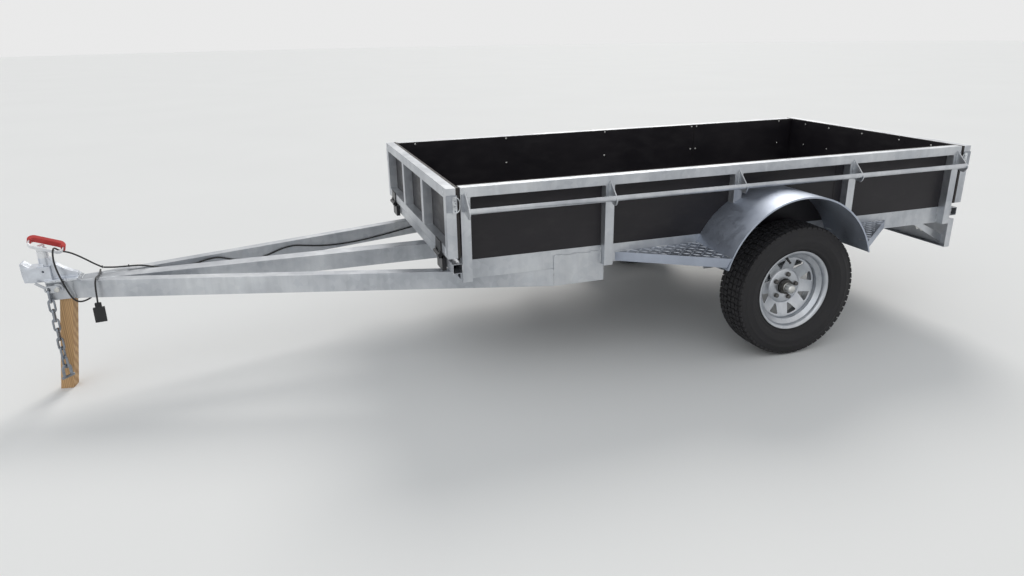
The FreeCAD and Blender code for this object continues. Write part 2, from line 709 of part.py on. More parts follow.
# Drawbar

def makeDrawbar():
    angle = size.drawAngle
    half = size.centreWidth / 2
    spare = size.cutterSpare
    # the line of an outer tube's outer face, from the centre tube back to the side rail
    run = (size.railOuter - half) / sine(angle)
    meetX = tubeFront - size.drawTip - run * cosine(angle)
    # behind this line a gusset closes the tube's end, flush with its outer face
    gussetOut = size.railOuter + size.sideGussetThick
    gussetFront = meetX - size.sideGussetThick / sine(angle) * cosine(angle)
    gussetBack = gussetFront - size.beamWidth / sine(angle) - size.sideGussetPast
    baseX = meetX - spare * cosine(angle) - size.beamWidth * sine(angle)
    baseY = size.railOuter + spare * sine(angle) - size.beamWidth * cosine(angle)
    beams = []
    for name, inset in (("BeamOuter", asDim(0)), ("BeamBore", size.tubeWall)):
        bar = doc.addObject("Part::Box", name)
        bind(bar, "Length", run + 2 * spare)
        bind(bar, "Width", size.beamWidth - 2 * inset)
        bind(bar, "Height", size.beamHeight - 2 * inset)
        place(bar, baseX + inset * sine(angle), baseY + inset * cosine(angle), beamBottom + inset,
              (0, 0, 1), 0 - angle)
        beams.append(bar)
    height = (beamBottom - 1, beamTop + 1)
    inside = box("BeamLimit", (meetX - run, tubeFront), (half, size.railOuter), height)
    proud = box("BeamLimitOut", (gussetFront, tubeFront), (half, gussetOut), height)
    beam = keep("BeamLeft", cut("BeamTube", *beams), fuse("BeamLimits", inside, proud))
    node(group("DrawbarBeams", beam, mirrored("BeamRight", beam)), "drawbar_beams")

    centre = tube("CentreTube", "x", (postStations[1] - size.crossWidth / 2, tubeFront), (-half, half),
                  (beamBottom, beamTop), size.tubeWall)
    cap = box("CentreCap", (tubeFront, tubeFront + size.capThick), (-half, half), (beamBottom, beamTop))
    node(fuse("CentreBeam", centre, cap), "centre_beam")

    sheetPiece = box("GussetSheet", (gussetBack, gussetFront), (size.railOuter, gussetOut),
                     (beamBottom, railTop - size.sideGussetDrop))
    gusset = cut("DrawbarGusset", sheetPiece, postOutlines("GussetPosts", beamTop - size.fitGap))
    node(group("DrawbarGussets", gusset, mirrored("DrawbarGussetRight", gusset)), "drawbar_gussets")
    return gussetBack


# Coupling: a cast head over the ball, a screw tower and a looped handle

def makeCoupling():
    low = couplingLow
    foot = (-size.flangeHalf, size.flangeHalf)
    pack = box("CouplingPlate", (tubeFront - size.packLong, tubeFront), foot, (beamTop, low))
    node(pack, "coupling_plate")
    ballX = noseX - size.lipOut - size.headRadius
    towerX = noseX - size.towerBack
    towerTop = low + size.towerHigh
    back = tubeFront - size.flangeBack
    toe = tubeFront + size.capThick
    flange = box("CouplingFlange", (back, toe), foot, (low, low + size.flangeThick))
    # the rib's top line from its rear end to the tower, as shares of its length and of the tower's height
    ribStart = towerX - size.towerRadius - back
    ribLine = ((0, 0.24), (0.2, 0.31), (0.4, 0.41), (0.6, 0.53), (0.8, 0.7), (1, 1))
    rib = plate("CouplingRib", "XZ", (
        (back, low),
        *[(back + along * ribStart, low + up * size.towerHigh) for along, up in ribLine],
        (towerX, towerTop),
        (towerX, low),
    ), -size.ribHalf, size.ribHalf)
    towerFoot = low + size.headHigh + size.towerFoot
    nose = plate("CouplingNose", "XZ", (
        (towerX, low),
        (towerX, towerFoot),
        (towerX + size.towerRadius, towerFoot),
        (towerX + size.towerRadius + size.towerFoot, low + size.headHigh),
        (ballX + size.lipFoot, low + size.headHigh),
        (noseX - size.lipThick, low + size.lipHigh),
        (noseX, low + size.lipHigh),
        (noseX, low + size.noseHigh),
        (noseX - size.lipOut, low),
    ), -size.noseHalf, size.noseHalf)
    head = rod("CouplingHead", "z", low, size.headHigh, size.headRadius, x=ballX)
    tower = rod("CouplingTower", "z", low, size.towerHigh, size.towerRadius, x=towerX)
    cheeks = box("CouplingCheeks", (towerX - size.cheekBack, ballX), (-size.headRadius, size.headRadius),
                 (low, low + size.headHigh))
    solid = fuse("CouplingSolid", flange, rib, nose, head, tower, cheeks)
    reach = size.ballRadius + size.ballClear
    socket = doc.addObject("Part::Sphere", "BallSocket")
    bind(socket, "Radius", reach)
    place(socket, ballX, 0, low + size.ballUp)
    mouth = rod("BallMouth", "z", low - 1, size.ballUp + 1, reach, x=ballX)
    hole = rod("CouplingHole", "y", -size.headRadius - 1, 2 * size.headRadius + 2, size.sideHole,
               x=towerX + size.sideHole, z=low + size.sideHoleUp)
    hollow = fuse("CouplingHollow", socket, mouth, hole)
    node(cut("CouplingBody", solid, hollow), "coupling_body")
    return towerX, towerTop


def makeHandle(towerX, towerTop):
    """A loop of flat strip on a collar, leaning back and rising forward, with a grip on its far half."""
    collarTop = towerTop + size.collarHigh
    middleX = towerX - size.handleBack
    middleZ = collarTop + size.handleUp
    turns = (((0, 1, 0), -size.handleRake), ((1, 0, 0), -size.handleLean))
    wide = size.handleHalf + size.handleThick / 2
    deep = size.handleDeep + size.handleThick / 2
    thick = size.handleThick

    def loop(name, grow, width):
        out = asDim(grow)
        back = thick + grow
        outer = slab(name + "Outer", wide + out, deep + out, size.handleRound + out, width)
        inner = slab(name + "Inner", wide - back, deep - back, size.handleRound - back, width + 2)
        return cut(name, outer, inner)

    strip = loop("HandleStrip", 0, size.handleStrip)
    place(lean(strip, *turns), middleX, 0, middleZ)
    collar = rod("HandleCollar", "z", towerTop, size.collarHigh, size.collarRadius, x=towerX)
    screw = rod("HandleScrew", "z", collarTop - 1, size.screwHigh + 1, size.screwRadius, x=towerX)
    # the lug joins the screw to the middle of the loop's near side
    lugY = size.handleDeep * cosine(size.handleLean)
    lugZ = middleZ - size.handleDeep * sine(size.handleLean)
    lug = box("HandleLug", (middleX, towerX + size.screwRadius), (0, lugY), (lugZ - thick, lugZ + thick))
    node(fuse("CouplingHandle", collar, screw, lug, strip), "coupling_handle")

    gap = size.fitGap
    sleeve = loop("GripSleeve", size.gripThick, size.handleStrip + 2 * size.gripThick)
    room = loop("GripRoom", gap, size.handleStrip + 2 * gap)
    span = wide + size.gripThick + 1
    half = box("GripHalf", (-span, span), (-span, -thick), (-span, span))
    grip = cut("CouplingGrip", keep("GripSleeveHalf", sleeve, half), room)
    place(lean(grip, *turns), middleX, 0, middleZ)
    node(grip, "coupling_grip")


# Running gear

def makeAxle():
    low = size.tyreRadius - size.axleSize / 2
    high = size.tyreRadius + size.axleSize / 2
    end = postOuter - size.axleInset
    beam = box("AxleBeam", (axleX - size.axleSize / 2, axleX + size.axleSize / 2), (-end, end), (low, high))
    reach = wheelOut + size.spindleTip
    spindle = rod("Spindles", "y", -reach, reach * 2, size.spindleRadius, x=axleX, z=size.tyreRadius)
    node(fuse("AxleBody", beam, spindle), "axle_beam")

    # each leaf is a band between two arcs, cut to its own half length
    depth = size.leafThick * size.leafCount
    arcRadius = size.springHalf * size.springHalf / (2 * size.springRise) + size.springRise / 2
    topMiddle = high + depth
    arcZ = topMiddle + arcRadius
    # the outer hanger ends at the rail's face
    yHigh = size.railOuter - size.hangerThick - size.hangerGap
    yLow = yHigh - size.springWidth
    leaves = []
    for index in range(int(size.leafCount.number)):
        inner = arcRadius + index * size.leafThick
        name = f"Leaf{index}"
        disc = rod(name + "Disc", "y", yLow, size.springWidth, inner + size.leafThick, x=axleX, z=arcZ)
        core = rod(name + "Core", "y", yLow - 1, size.springWidth + 2, inner, x=axleX, z=arcZ)
        band = cut(name + "Band", disc, core)
        reachX = size.springHalf - index * size.leafStep
        limit = box(name + "Limit", (axleX - reachX, axleX + reachX), (yLow - 1, yHigh + 1),
                    (high - 1, topMiddle + size.springRise * 1.5))
        leaves.append(keep(name, band, limit))
    eyeZ = topMiddle + size.springRise
    ends = (("Front", axleX + size.springHalf), ("Rear", axleX - size.springHalf))
    for tag, spotX in ends:
        leaves.append(rod(f"Eye{tag}", "y", yLow, size.springWidth, size.eyeRadius, x=spotX, z=eyeZ))
    pack = fuse("SpringSolid", *leaves)
    bores = fuse("SpringBores", *[
        rod(f"EyeBore{tag}", "y", yLow - 1, size.springWidth + 2, size.eyeBore, x=spotX, z=eyeZ)
        for tag, spotX in ends])
    spring = cut("SpringLeft", pack, bores)
    node(group("LeafSprings", spring, mirrored("SpringRight", spring)), "leaf_springs")

    hangers = []
    thick = size.hangerThick
    inside = yLow - size.hangerGap
    outside = yHigh + size.hangerGap
    for tag, spotX in ends:
        ears = []
        for side, y in (("In", inside - thick), ("Out", outside)):
            ears.append(box(f"Ear{tag}{side}", (spotX - size.hangerHalf, spotX + size.hangerHalf),
                            (y, y + thick), (eyeZ - size.hangerDrop, beamTop - thick)))
        cap = box(f"HangerCap{tag}", (spotX - size.hangerHalf - thick, spotX + size.hangerHalf + thick),
                  (inside - thick, outside + thick), (beamTop - thick, beamTop))
        boltLong = outside - inside + 2 * thick + 2 * size.boltEnd
        bolt = rod(f"HangerBolt{tag}", "y", inside - thick - size.boltEnd, boltLong,
                   size.eyeBore - size.boltClearance, x=spotX, z=eyeZ)
        hanger = fuse(f"Hanger{tag}", cap, bolt, *ears)
        hangers += [hanger, mirrored(f"Hanger{tag}Right", hanger)]
    node(group("SpringHangers", *hangers), "spring_hangers")

    across = (yLow - size.clampSide, yHigh + size.clampSide)
    along = (axleX - size.clampHalf, axleX + size.clampHalf)
    under = box("ClampUnder", along, across, (low - size.clampThick, low))
    block = box("ClampBlock", along, across, (topMiddle, topMiddle + size.clampThick))
    seat = rod("ClampSeat", "y", yLow - size.clampSide - 1, size.springWidth + 2 * size.clampSide + 2,
               arcRadius - size.fitGap, x=axleX, z=arcZ)
    over = keep("ClampOver", block, seat)
    legs = []
    for indexX, x in enumerate((-size.clampBoltOut, size.clampBoltOut)):
        for indexY, y in enumerate((yLow - size.clampSide / 2, yHigh + size.clampSide / 2)):
            start = low - size.clampThick - size.clampBoltEnd
            legs.append(rod(f"ClampLeg{indexX}{indexY}", "z", start,
                            topMiddle + size.clampThick + size.clampBoltEnd - start, size.clampBolt,
                            x=axleX + x, y=y))
    clamp = fuse("SpringClampLeft", under, over, *legs)
    node(group("SpringClamps", clamp, mirrored("SpringClampRight", clamp)), "spring_clamps")


def makeWheel(side, sign):
    """sign is 1 on the left and -1 on the right; profiles run outwards from the wheel's middle."""
    title = side.title()
    centre = (axleX, sign * wheelOut, size.tyreRadius)

    def out(points):
        return [(radius, sign * asDim(level)) for radius, level in points]

    half = size.tyreWidth / 2
    flangeRadius = size.beadRadius + size.flangeRise
    wellRadius = size.beadRadius - size.wellDrop
    seat = size.beadRadius + size.fitGap
    bead = size.rimHalf - size.flangeWide - size.fitGap
    innerBead = size.rimHalf - size.seatWide
    waist = (flangeRadius + size.tyreRadius - size.shoulderDeep) / 2
    shoulder = size.tyreRadius - size.shoulderDeep
    edge = size.tyreRadius - size.shoulderDrop
    inside = size.tyreRadius - size.treadThick
    outside = [
        (seat, bead),
        (flangeRadius + size.flangeWide, bead),
        (waist, half),
        (shoulder, half - 2),
        (edge, half - size.shoulderInset),
        (size.tyreRadius, half - size.treadInset),
    ]
    lined = [
        (inside, half - size.tyreWall - size.shoulderInset),
        (waist, half - size.tyreWall),
        (seat, innerBead),
    ]
    profile = outside + [(radius, -level) for radius, level in reversed(outside)]
    profile += [(radius, -level) for radius, level in reversed(lined)] + lined
    node(turned(title + "Tyre", out(profile), centre), f"tyre_{side}")

    thick = size.rimThick
    pad = -size.padBack
    back = pad - size.discThick
    face = pad - size.discDrop
    padRadius = size.nutCircle + 2 * size.nutRadius
    padFoot = padRadius + size.padEdge
    wellInner = wellRadius - thick
    discEdge = wellInner - size.grooveWide
    flat = size.rimHalf - size.flangeWide
    wellEdge = innerBead - size.wellSlope
    fold = size.foldStep
    # the disc lies deep in the rim: a groove, the disc's face, and the bolting pad raised in its middle
    rim = turned(title + "Rim", out((
        (size.beadRadius, flat),
        (flangeRadius, flat),
        (flangeRadius, size.rimHalf),
        (size.beadRadius - thick, size.rimHalf),
        (size.beadRadius - thick, innerBead),
        (wellInner, wellEdge),
        (wellInner, face - size.grooveDeep),
        (discEdge, face),
        (padFoot, face),
        (padRadius, pad),
        (size.hubNose + thick, pad),
        (size.hubNose + thick, back),
        (padRadius - fold, back),
        (padFoot - fold, face - size.discThick),
        (discEdge - fold, face - size.discThick),
        (wellInner, face - size.grooveDeep - size.discThick - fold),
        (wellInner, -wellEdge),
        (size.beadRadius - thick, -innerBead),
        (size.beadRadius - thick, -size.rimHalf),
        (flangeRadius, -size.rimHalf),
        (flangeRadius, -flat),
        (size.beadRadius, -flat),
        (size.beadRadius, fold - innerBead),
        (wellRadius, fold - wellEdge),
        (wellRadius, wellEdge - fold),
        (size.beadRadius, innerBead - fold),
    )), centre)
    doc.recompute()
    near = size.windowHalf
    far = size.windowHalf + size.windowSpread
    shortFar = far - size.windowSpread / 1.6
    inner = padFoot + size.windowInset
    outer = discEdge - size.windowEdge
    ringOfCuts(rim, title + "Window", size.windowCount, (
        (inner, -near),
        (outer - size.windowTrim, -far),
        (outer, -shortFar),
        (outer, shortFar),
        (outer - size.windowTrim, far),
        (inner, near),
    ), 4 * size.rimHalf)
    node(rim, f"rim_{side}")

    bore = size.spindleRadius + size.pinClearance
    boreEnd = size.spindleTip + size.spindleGap
    hub = turned(title + "Hub", out((
        (0, boreEnd),
        (bore, boreEnd),
        (bore, -size.hubBack),
        (size.hubRadius, -size.hubBack),
        (size.hubRadius, back - size.hubFlangeThick),
        (size.hubFlange, back - size.hubFlangeThick),
        (size.hubFlange, back),
        (size.hubNose, back),
        (size.hubNose, back + size.noseOut),
        (size.capRadius, back + size.noseOut),
        (size.capRadius, back + size.capOut - 2 * size.capRound),
        (size.capRadius - size.capRound, back + size.capOut),
        (0, back + size.capOut),
    )), centre)
    node(hub, f"hub_{side}")

    nuts = []
    pitch = asDim(360) / size.nutCount
    for index in range(int(size.nutCount.number)):
        nut = doc.addObject("Part::Prism", f"{title}Nut{index}")
        nut.Polygon = 6
        bind(nut, "Circumradius", size.nutRadius)
        bind(nut, "Height", size.nutHigh)
        turn = pitch * index + 90
        start = wheelOut + pad if sign > 0 else -(wheelOut + pad + size.nutHigh)
        nutX = axleX + size.nutCircle * cosine(turn)
        nutZ = size.tyreRadius + size.nutCircle * sine(turn)
        place(nut, nutX, start, nutZ, (1, 0, 0), -90)
        nuts.append(nut)
    node(group(title + "Nuts", *nuts), f"wheel_nuts_{side}")


# Mudguards, each with a step before and behind it

def makeGuards(gussetBack):
    middleX = axleX + size.guardLead
    outer = wheelOut + size.tyreWidth / 2 + size.guardOver
    sheetThick = size.sheetThick
    width = outer - size.railOuter
    foot = beamTop - size.guardLap
    start = size.railOuter - 1
    disc = rod("GuardDisc", "y", size.railOuter, width, guardRadius, x=middleX, z=guardHigh)
    core = rod("GuardCore", "y", start, width - sheetThick + 1, guardRadius - sheetThick,
               x=middleX, z=guardHigh)
    well = rod("GuardWell", "y", start, width + 2, guardRadius - size.guardWall, x=middleX, z=guardHigh)
    shell = cut("GuardShell", cut("GuardDiscCut", disc, core), well)
    limit = box("GuardLimit", (middleX - guardRadius - 1, middleX + guardRadius + 1),
                (size.railOuter - 2, outer + 2), (foot, guardHigh + guardRadius + 1))
    arch = keep("GuardArch", shell, limit)

    stepTop = beamTop + size.stepUp
    low = stepTop - sheetThick
    rise = stepTop - guardHigh
    # the step ends inside the arch's own sheet
    reach = root(guardRadius * guardRadius - rise * rise) - sheetThick
    stepHollow = rod("StepCore", "y", start, width + 2, guardRadius - sheetThick / 2, x=middleX, z=guardHigh)
    steps = []
    frontTip = lesser(postStations[1] - size.stepTip, gussetBack - size.stepClear)
    rearTip = postStations[3] - size.stepTail
    for tag, sign, point in (("Front", 1, frontTip), ("Rear", -1, rearTip)):
        edge = middleX + sign * reach
        side = size.railOuter
        top = plate(f"Step{tag}Top", "XY", ((point, side), (edge, side), (edge, outer)), low, stepTop)
        # the lip follows the sloping edge as a thin upright band
        lip = plate(f"Step{tag}Lip", "XY", (
            (point, side), (point - sign * 2 * size.stepLipThick, side),
            (edge, outer - size.stepLipThick), (edge, outer)), stepTop - size.stepLip, stepTop)
        steps.append(cut(f"Step{tag}", fuse(f"Step{tag}Whole", top, lip), stepHollow))
    guard = cut("GuardLeft", fuse("GuardWhole", arch, *steps), postOutlines("GuardPosts", beamBottom))
    node(group("Mudguards", guard, mirrored("GuardRight", guard)), "mudguards")


# Lamp board on its braces, with its lamps and plate

def makeLamps():
    back = rearX - size.boardDeep
    wall = size.boardWall
    high = beamTop + size.boardUp
    low = high - size.boardTall
    inside = postOuter - wall
    outer = box("BoardOuter", (back, rearX), (-postOuter, postOuter), (low, high))
    bore = box("BoardBore", (back + wall, rearX + 1), (-inside, inside), (low + wall, high - wall))
    shell = cut("BoardShell", outer, bore)
    foot = low + size.braceFoot
    brace = plate("BoardBrace", "XZ", (
        (rearX + size.braceRun, beamTop), (rearX + size.braceRun - size.braceWide, beamTop),
        (back + wall - 1, foot + size.braceFootHigh), (back + wall - 1, foot),
    ), lining - size.braceThick, lining)
    node(fuse("LampBoard", shell, brace, mirrored("BoardBraceRight", brace)), "lamp_board")
    middle = postOuter - size.lampInset
    lamp = box("LampLeft", (back - size.lampDeep, back), (middle - size.lampHalf, middle + size.lampHalf),
               (low + size.lampEdge, high - size.lampEdge))
    node(group("TailLamps", lamp, mirrored("LampRight", lamp)), "tail_lamps")
    node(box("NumberPlate", (back - size.plateThick, back), (-size.plateHalf, size.plateHalf),
             (low + size.plateEdge, high - size.plateEdge)), "number_plate")


# What it stands on, and what hangs from it

def makeProp():
    """A leaning length of timber, turned about its length, its ends cut level."""
    half = size.propWidth / 2
    side = size.propThick / 2
    spare = size.cutterSpare
    length = root(size.propLean * size.propLean + beamBottom * beamBottom)
    timber = plate("PropTimber", "XY", ((-half, -side), (half, -side), (half, side), (-half, side)),
                   -spare, length + spare)
    # the timber's pad starts below its foot, so its start is part of its place
    tilt = math.degrees(math.atan2(size.propLean.number, beamBottom.number))
    lean(timber, ((0, 1, 0), -tilt), ((0, 0, 1), -size.propTurn))
    footX = tubeFront - size.propBack + size.propLean
    place(timber, footX + spare * size.propLean / length, 0, 0 - spare * beamBottom / length)
    slab = box("PropSlab", (footX - size.propLean - spare, footX + spare), (-spare, spare), (0, beamBottom))
    node(keep("TimberProp", timber, slab), "timber_prop")


def link(turn):
    """A flat racetrack ring about its own middle, turned about the upright; at 90 it stands across X."""
    half = size.linkWidth.number / 2
    wire = size.linkWire.number
    straight = size.linkInner.number / 2 + wire - half
    solids = []
    for radius in (half, half - wire):
        first = V(-radius, 0, -straight)
        second = V(-radius, 0, straight)
        third = V(radius, 0, straight)
        fourth = V(radius, 0, -straight)
        edges = [
            Part.LineSegment(first, second).toShape(),
            Part.Arc(second, V(0, 0, straight + radius), third).toShape(),
            Part.LineSegment(third, fourth).toShape(),
            Part.Arc(fourth, V(0, 0, -straight - radius), first).toShape(),
        ]
        solids.append(Part.Face(Part.Wire(edges)).extrude(V(0, wire, 0)))
    ring = solids[0].cut(solids[1])
    ring.translate(V(0, -wire / 2, 0))
    ring.rotate(V(), V(0, 0, 1), turn)
    return ring


def shackle(crown):
    """A bow shackle with its pin below; crown is the height of the bow's inside."""
    wire = size.shackleWire.number
    half = size.shackleHalf.number
    pinRadius = size.shacklePin.number
    end = half + size.shacklePinEnd.number
    spring = crown - half + wire / 2
    foot = crown + wire - size.shackleHigh.number
    pieces = []
    for sign in (-1, 1):
        pieces.append(Part.makeBox(wire, wire, spring - foot, V(sign * half - wire / 2, -wire / 2, foot)))
    ring = Part.makeCylinder(half + wire / 2, wire, V(0, -wire / 2, spring), V(0, 1, 0))
    ring = ring.cut(Part.makeCylinder(half - wire / 2, wire, V(0, -wire / 2, spring), V(0, 1, 0)))
    upper = Part.makeBox(4 * half, 4 * half, 4 * half, V(-2 * half, -2 * half, spring))
    pieces.append(ring.common(upper))
    pieces.append(Part.makeCylinder(pinRadius, 2 * end, V(-end, 0, foot), V(1, 0, 0)))
    return pieces[0].fuse(pieces[1:])


def makeChain():
    """A lug beside the front of the centre tube, the links below it, and a shackle in the last one."""
    holeX = tubeFront - size.lugBack
    holeZ = beamBottom + size.lugUp
    side = size.centreWidth / 2
    base = side + size.lugBase
    boltX = holeX - size.lugBoltBack
    washer = rod("ChainLugWasher", "y", side, size.lugBase, size.lugWasher, x=boltX, z=holeZ)
    bolt = rod("ChainLugBolt", "y", base, size.lugThick + size.lugBoltHigh, size.lugBolt, x=boltX, z=holeZ)
    arm = box("ChainLugArm", (boltX, holeX), (base, base + size.lugThick),
              (holeZ - size.lugRound, holeZ + size.lugRound))
    tip = rod("ChainLugTip", "y", base, size.lugThick, size.lugRound, x=holeX, z=holeZ)
    keeper = rod("ChainKeeper", "z", 0, size.keeperLong, size.keeperRadius)
    start = size.lugRound - size.keeperRadius
    place(keeper, holeX + start * sine(size.keeperLean), base + size.lugThick / 2,
          holeZ + start * cosine(size.keeperLean), (0, 1, 0), size.keeperLean)
    hole = rod("ChainLugHole", "y", base - 1, size.lugThick + 2, size.lugHole, x=holeX, z=holeZ)
    node(cut("ChainLug", fuse("ChainLugSolid", washer, bolt, arm, tip, keeper), hole), "chain_lug")

    # the first link stands across the lug, and the lower ones hang a little twisted
    radius = size.lugHole.number
    wire = size.linkWire.number
    bow = size.linkWidth.number / 2 - wire
    ear = size.lugThick.number / 2
    rest = radius - math.sqrt(radius * radius - wire * wire / 4) + bow - math.sqrt(bow * bow - ear * ear)
    x = holeX.number
    y = (base + size.lugThick / 2).number
    inner = size.linkInner.number
    top = holeZ.number - radius + rest + size.fitGap.number
    pitch = inner - size.linkSlack.number
    count = int(size.linkCount.number)
    pieces = []
    for index in range(count):
        twist = max(0, index - 4) * 10
        piece = link((90 if index % 2 == 0 else 0) - twist)
        piece.translate(V(x, y, top - inner / 2 - pitch * index))
        pieces.append(piece)
    crown = top - pitch * (count - 1) - inner + size.shackleSlack.number
    piece = shackle(crown)
    piece.rotate(V(), V(0, 0, 1), (90 if count % 2 == 0 else 0) - max(0, count - 4) * 10)
    piece.translate(V(x, y, 0))
    pieces.append(piece)
    feature("SafetyChain", Part.makeCompound(pieces), "safety_chain")


# Wiring: points from the front of the tray, across and up, as chosen along the real routes

harnessPoints = (
    (-2526.2, 500, 426.5), (-2526.2, 405, 427.2), (-2526.2, 305, 426.2), (-2526.2, 205, 427.2),
    (-2526.2, 105, 426.2), (-2526.2, 5, 427.2), (-2526.2, -95, 426.2), (-2526.2, -195, 427.2),
    (-2526.2, -290, 426.2), (-2526.2, -380, 427.2), (-2524.2, -445, 427), (-2508, -482, 427.5),
    (-2480, -503, 434.5), (-2445, -516, 450), (-2405, -525, 463.5), (-2330, -530, 469.5),
    (-2230, -530, 468.5), (-2130, -530, 469.5), (-2030, -530, 468.5), (-1930, -530, 469.5),
    (-1830, -530, 468.5), (-1730, -530, 469.5), (-1630, -530, 468.5), (-1530, -530, 469.5),
    (-1430, -530, 468.5), (-1330, -530, 469.5), (-1230, -530, 468.5), (-1130, -530, 469.5),
    (-1030, -530, 468.5), (-930, -530, 469.5), (-830, -530, 468.5), (-730, -530, 469.5),
    (-630, -530, 468.5), (-560, -531.5, 469), (-490, -538, 467), (-400, -535.5, 464.5),
    (-320, -529, 463), (-240, -511.8, 460), (-150, -484.3, 454.5), (-60, -456.7, 446),
    (30, -429.2, 436.5), (120, -401.7, 428), (210, -374.2, 421), (300, -346.7, 417),
    (390, -319.2, 419), (470, -294.7, 427), (540, -273.3, 441), (600, -255, 455),
    (660, -236.6, 449), (720, -218.3, 431), (780, -200, 418.5), (840, -181.6, 424),
    (890, -166.3, 442), (940, -151, 463), (990, -135.8, 461.5), (1040, -120.5, 450),
    (1090, -105.2, 442.5), (1140, -89.9, 448), (1180, -77.7, 462), (1217, -66, 478),
    (1255, -64, 486.8), (1300, -70, 486.2), (1348, -69, 486.8), (1395, -62, 494.3),
)
leadPoints = (
    (1397, -61.7, 495.4), (1420, -58, 511), (1450, -51, 538), (1478, -38, 564), (1500, -25, 582),
    (1520, -13, 592), (1533, -3, 601), (1539, 11, 614), (1541.5, 26, 617.5), (1543, 41, 609),
    (1544, 50, 590), (1544.5, 52.5, 562), (1540, 53, 527), (1532, 53.5, 491), (1523.5, 54, 458),
    (1514.5, 54, 428), (1504, 49, 400), (1490, 35, 383), (1475, 13, 377), (1459, -15, 377),
    (1446, -44, 383.5), (1436, -68, 398), (1428, -81, 422), (1420, -84, 450), (1412, -78, 475.5),
    (1406, -60, 487.5), (1403, -35, 485.5), (1403, -9, 481.1), (1404, 18, 481.4), (1404, 44, 486),
    (1405, 68, 485.5), (1407, 84, 470.5), (1408.5, 89, 446), (1410, 88, 416.5), (1412, 86, 385.7),
)


def cable(points):
    """A round cable: straight runs joined by tangent arcs that each take up to 0.45 of the shorter run."""
    spots = [V(frontX.number + x, y, z) for x, y, z in points]
    edges = []
    last = spots[0]
    tightest = 1e9
    for before, spot, after in zip(spots, spots[1:], spots[2:]):
        come = V(spot - before).normalize()
        go = V(after - spot).normalize()
        reach = 0.45 * min((spot - before).Length, (after - spot).Length)
        halfTurn = come.getAngle(go) / 2
        bend = reach / math.tan(halfTurn)
        tightest = min(tightest, bend)
        first = spot - come * reach
        second = spot + go * reach
        inward = V(go - come).normalize()
        middle = spot + inward * (bend / math.cos(halfTurn) - bend)
        edges.append(Part.LineSegment(last, first).toShape())
        edges.append(Part.Arc(first, middle, second).toShape())
        last = second
    edges.append(Part.LineSegment(last, spots[-1]).toShape())
    path = Part.Wire(edges)
    radius = size.cableRadius.number
    ring = Part.Wire([Part.Circle(spots[0], spots[1] - spots[0], radius).toShape()])
    solid = path.makePipeShell([ring], True, False)
    share = solid.Volume / (math.pi * radius * radius * path.Length)
    print("cable", round(path.Length), "long, tightest bend", round(tightest, 1), "share", round(share, 4))
    return solid


def makeWiring():
    feature("WiringHarness", cable(harnessPoints), "wiring_harness")
    feature("TrailerLead", cable(leadPoints), "trailer_lead")
    endX, endY, endZ = leadPoints[-1]
    top = endZ - size.fitGap
    neckFoot = top - size.neckLong
    neckHalf = size.neckWide / 2
    neckSide = size.neckThick / 2
    half = size.plugWide / 2
    side = size.plugThick / 2
    neck = box("PlugNeck", (-neckHalf, neckHalf), (-neckSide, neckSide), (neckFoot, top))
    body = box("PlugBody", (-half, half), (-side, side), (neckFoot - size.plugLong, neckFoot))
    plug = fuse("LeadPlug", neck, body)
    place(plug, frontX + endX, endY, 0, (0, 0, 1), size.plugTurn)
    node(plug, "lead_plug")


makeTray()
makeRopeRails()
hinges = makeGate("front_gate", frontX, 1)
hinges += makeGate("rear_gate", rearX, -1)
node(group("HingeBrackets", *hinges), "hinge_brackets")
makeKeepers()
gussetBack = makeDrawbar()
makeHandle(*makeCoupling())
makeAxle()
makeWheel("left", 1)
makeWheel("right", -1)
makeGuards(gussetBack)
makeLamps()
makeProp()
makeChain()
makeWiring()

doc.recompute()
faults = []
for thing in doc.Objects:
    if "Invalid" in thing.State or "Error" in thing.State:
        faults.append(f"{thing.Name} did not compute")
for thing in nodes:
    if thing.Shape.isNull() or not thing.Shape.isValid():
        faults.append(f"{thing.Label} has no valid shape")
if faults:
    raise RuntimeError("; ".join(faults))

os.makedirs("parts", exist_ok=True)
for thing in nodes:
    thing.Shape.exportStep(f"parts/{thing.Label}.step")
    print(thing.Label, len(thing.Shape.Solids), round(thing.Shape.Volume))
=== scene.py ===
import json
import math
import bpy
from mathutils import Matrix, Vector

